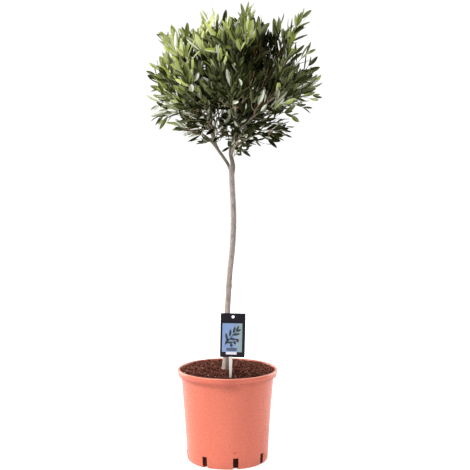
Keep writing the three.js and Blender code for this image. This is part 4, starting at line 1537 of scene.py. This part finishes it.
# %% Make the card
ROUNDS = [(0.0, 0.35), (0.012, 0.0), (0.5, 0.0), (0.985, 0.0), (1.0, 0.3)]  # share out, rounded off by

corner_angles = [
    math.atan2(z - HOLE[1], x)
    for x in (-LABEL["width"] / 2, LABEL["width"] / 2)
    for z in (0, LABEL["height"])
]
turn = np.sort(np.concatenate(
    [circle(96) - math.pi + 0.01] + [angle + np.linspace(-0.05, 0.05, 9) for angle in corner_angles]
))
outer = card_outline(turn)
hole = HOLE + HOLE_RADIUS * spokes(turn)
front = [card_points(hole + (outer - hole) * share, drop - LABEL["thick"]) for share, drop in ROUNDS]
back = [card_points(hole + (outer - hole) * share, -drop) for share, drop in ROUNDS[::-1]]
card = np.array(front + back)
rows, columns = card.shape[:2]
quads = grid_quads(rows + 1, columns)[:, [0, 3, 2, 1]] % (rows * columns)  # the last row meets the first
card_finish, _, _ = grained_finish(
    "card_navy", [srgb(26, 20, 31), srgb(21, 16, 26), srgb(36, 30, 42)],
    roughness=(0.28, 0.4), scales=(60, 1500), bump=0.05, depth=0.0001, shine=0.15,
)
piece(
    "label_card", on_card(card).reshape(-1, 3), [quads], [card_finish],
    sharp=50, stands_for=["plant_label"],
)


# %% Make the label's stem
def squared(wave):
    """A wave with steeper flanks and a flatter top: its sign times the root of its size."""
    return np.sign(wave) * np.abs(wave) ** 0.5


stem_heights = np.array([2.0, 0, -20, -50, POINT_LENGTH - STEM_LENGTH, -100, -STEM_LENGTH])
stem_halves = np.array([3.4, 3.4, 2.9, 2.3, 2.1, 1.3, 0.15])
loop = circle(16)
stem = np.stack(np.broadcast_arrays(
    STEM_OFFSET + stem_halves[:, None] * squared(np.cos(loop)),
    STEM_DEPTH + 0.45 * squared(np.sin(loop)),
    stem_heights[:, None],
), axis=-1)
rows, columns = stem.shape[:2]
ends = [[STEM_OFFSET, STEM_DEPTH, height] for height in (2.2, -STEM_LENGTH - 0.2)]
stem_finish, _, _ = grained_finish(
    "stem_white", [srgb(226, 226, 222), srgb(214, 212, 206), srgb(200, 190, 180)],
    roughness=(0.35, 0.5), scales=(90, 900), bump=0.08, depth=0.0002,
)
piece(
    "label_stem", on_card(np.vstack([stem.reshape(-1, 3), ends])),
    [grid_quads(rows, columns)[:, ::-1], end_fans(rows, columns)[:, ::-1]], [stem_finish],
)

# %% [markdown]
# The print is a set of very thin raised fields on the card's face: a pale panel, and on it a sprig of
# leaves with three fruits, a dark box and a blank strip for the price. Each is an outline at the
# card's face, again a little proud of it, and closed by a point in the middle. Each lies a little
# further out than the one beneath.


# %% Outlines for the print
LAYER = 0.12


def box_outline(x, z, width, height, corner=1.2, per=6):
    """Points round a rectangle whose corners are quarter circles."""
    sides = np.array([(1, 1), (-1, 1), (-1, -1), (1, -1)])
    turn = np.radians(90 * np.arange(4)[:, None] + np.linspace(0, 90, per))
    middles = sides * (np.array([width, height]) / 2 - corner)
    return (middles[:, None] + corner * spokes(turn)).reshape(-1, 2) + [x, z]


def leaf_outline(x, z, turn, length, width, n=20):
    """Points round a leaf that starts at a place: along it by half of one less the cosine, and
    across it by the sine raised to 1.4, so that it is pointed at both ends."""
    t = circle(n) + 0.01
    along = length * (1 - np.cos(t)) / 2
    across = -width / 2 * np.sin(t) * np.abs(np.sin(t)) ** 0.4
    c, s = math.cos(math.radians(turn)), math.sin(math.radians(turn))
    return np.stack([x + along * c - across * s, z + along * s + across * c], axis=-1)


def raised(outline, layers):
    """The thin closed field of an outline, its face one layer above some layers on the card."""
    middle = outline.mean(axis=0)
    foot, front = -LABEL["thick"] + 0.05, -LABEL["thick"] - LAYER * layers - LAYER
    inner = middle + 0.98 * (outline - middle)
    rings = [card_points(outline, foot), card_points(outline, front + 0.04), card_points(inner, front)]
    points = np.vstack([*rings, card_points(middle, foot), card_points(middle, front)])
    return points, grid_quads(len(rings), len(outline)), end_fans(len(rings), len(outline))


def printed(name, fields, colours):
    """Fields joined into one printed piece with a finish of its own."""
    finish, colour, coordinates = grained_finish(
        name + "_print", colours,
        roughness=(0.3, 0.42), scales=(60, 900), bump=0.03, depth=0.0001, shine=0.4,
    )
    points, quads, caps = joined(fields)
    piece("label_" + name, on_card(points), [quads, caps], [finish])
    return finish, colour, coordinates


# %% Print the card's face
panel, panel_colour, coordinates = printed(
    "panel", [raised(box_outline(-1, 40.4, 40.4, 59), layers=0)],
    [srgb(134, 158, 202), srgb(112, 138, 190), srgb(172, 192, 214)],
)
tree = panel.node_tree
greener = ranged(tree, coordinate(tree, coordinates, "X"), 0.008, 0.034, most=0.75)
coloured(panel, mixed(tree, greener, panel_colour, srgb(150, 166, 138)))
printed(
    "strip", [raised(box_outline(-2.2, 8.4, 22, 5.4), layers=1)],
    [srgb(226, 222, 232), srgb(216, 212, 224), srgb(236, 234, 240)],
)
printed(
    "box", [raised(box_outline(-1.7, 16.2, 21.5, 6.4), layers=1)],
    [srgb(82, 90, 118), srgb(70, 78, 106), srgb(118, 126, 152)],
)

# leaves and fruits: across, up, turn, length, width
SPRIG = [
    (-15, 26, 62, 15, 5), (-12, 30, 4, 14, 4.6), (-11, 34, 100, 16, 5), (-7, 38, -4, 15, 5),
    (-6, 42, 84, 16, 5.2), (-1, 46, 10, 16, 5), (1, 49, 76, 15, 5), (6, 53, 22, 12, 4.4),
    (7, 54, 66, 12, 4.4),
]
STALK = (-17, 23, 52, 40, 1.6)
FRUITS = [(3, 34, -70, 8, 5.6), (9, 39, -80, 8, 5.6), (-2, 29, -96, 8, 5.6)]
printed(
    "sprig", [raised(leaf_outline(*row), layers=1) for row in (STALK, *SPRIG)],
    [srgb(30, 48, 42), srgb(22, 38, 36), srgb(110, 128, 96)],
)
printed(
    "fruits", [raised(leaf_outline(*row), layers=2) for row in FRUITS],
    [srgb(52, 36, 60), srgb(40, 30, 50), srgb(96, 110, 84)],
)
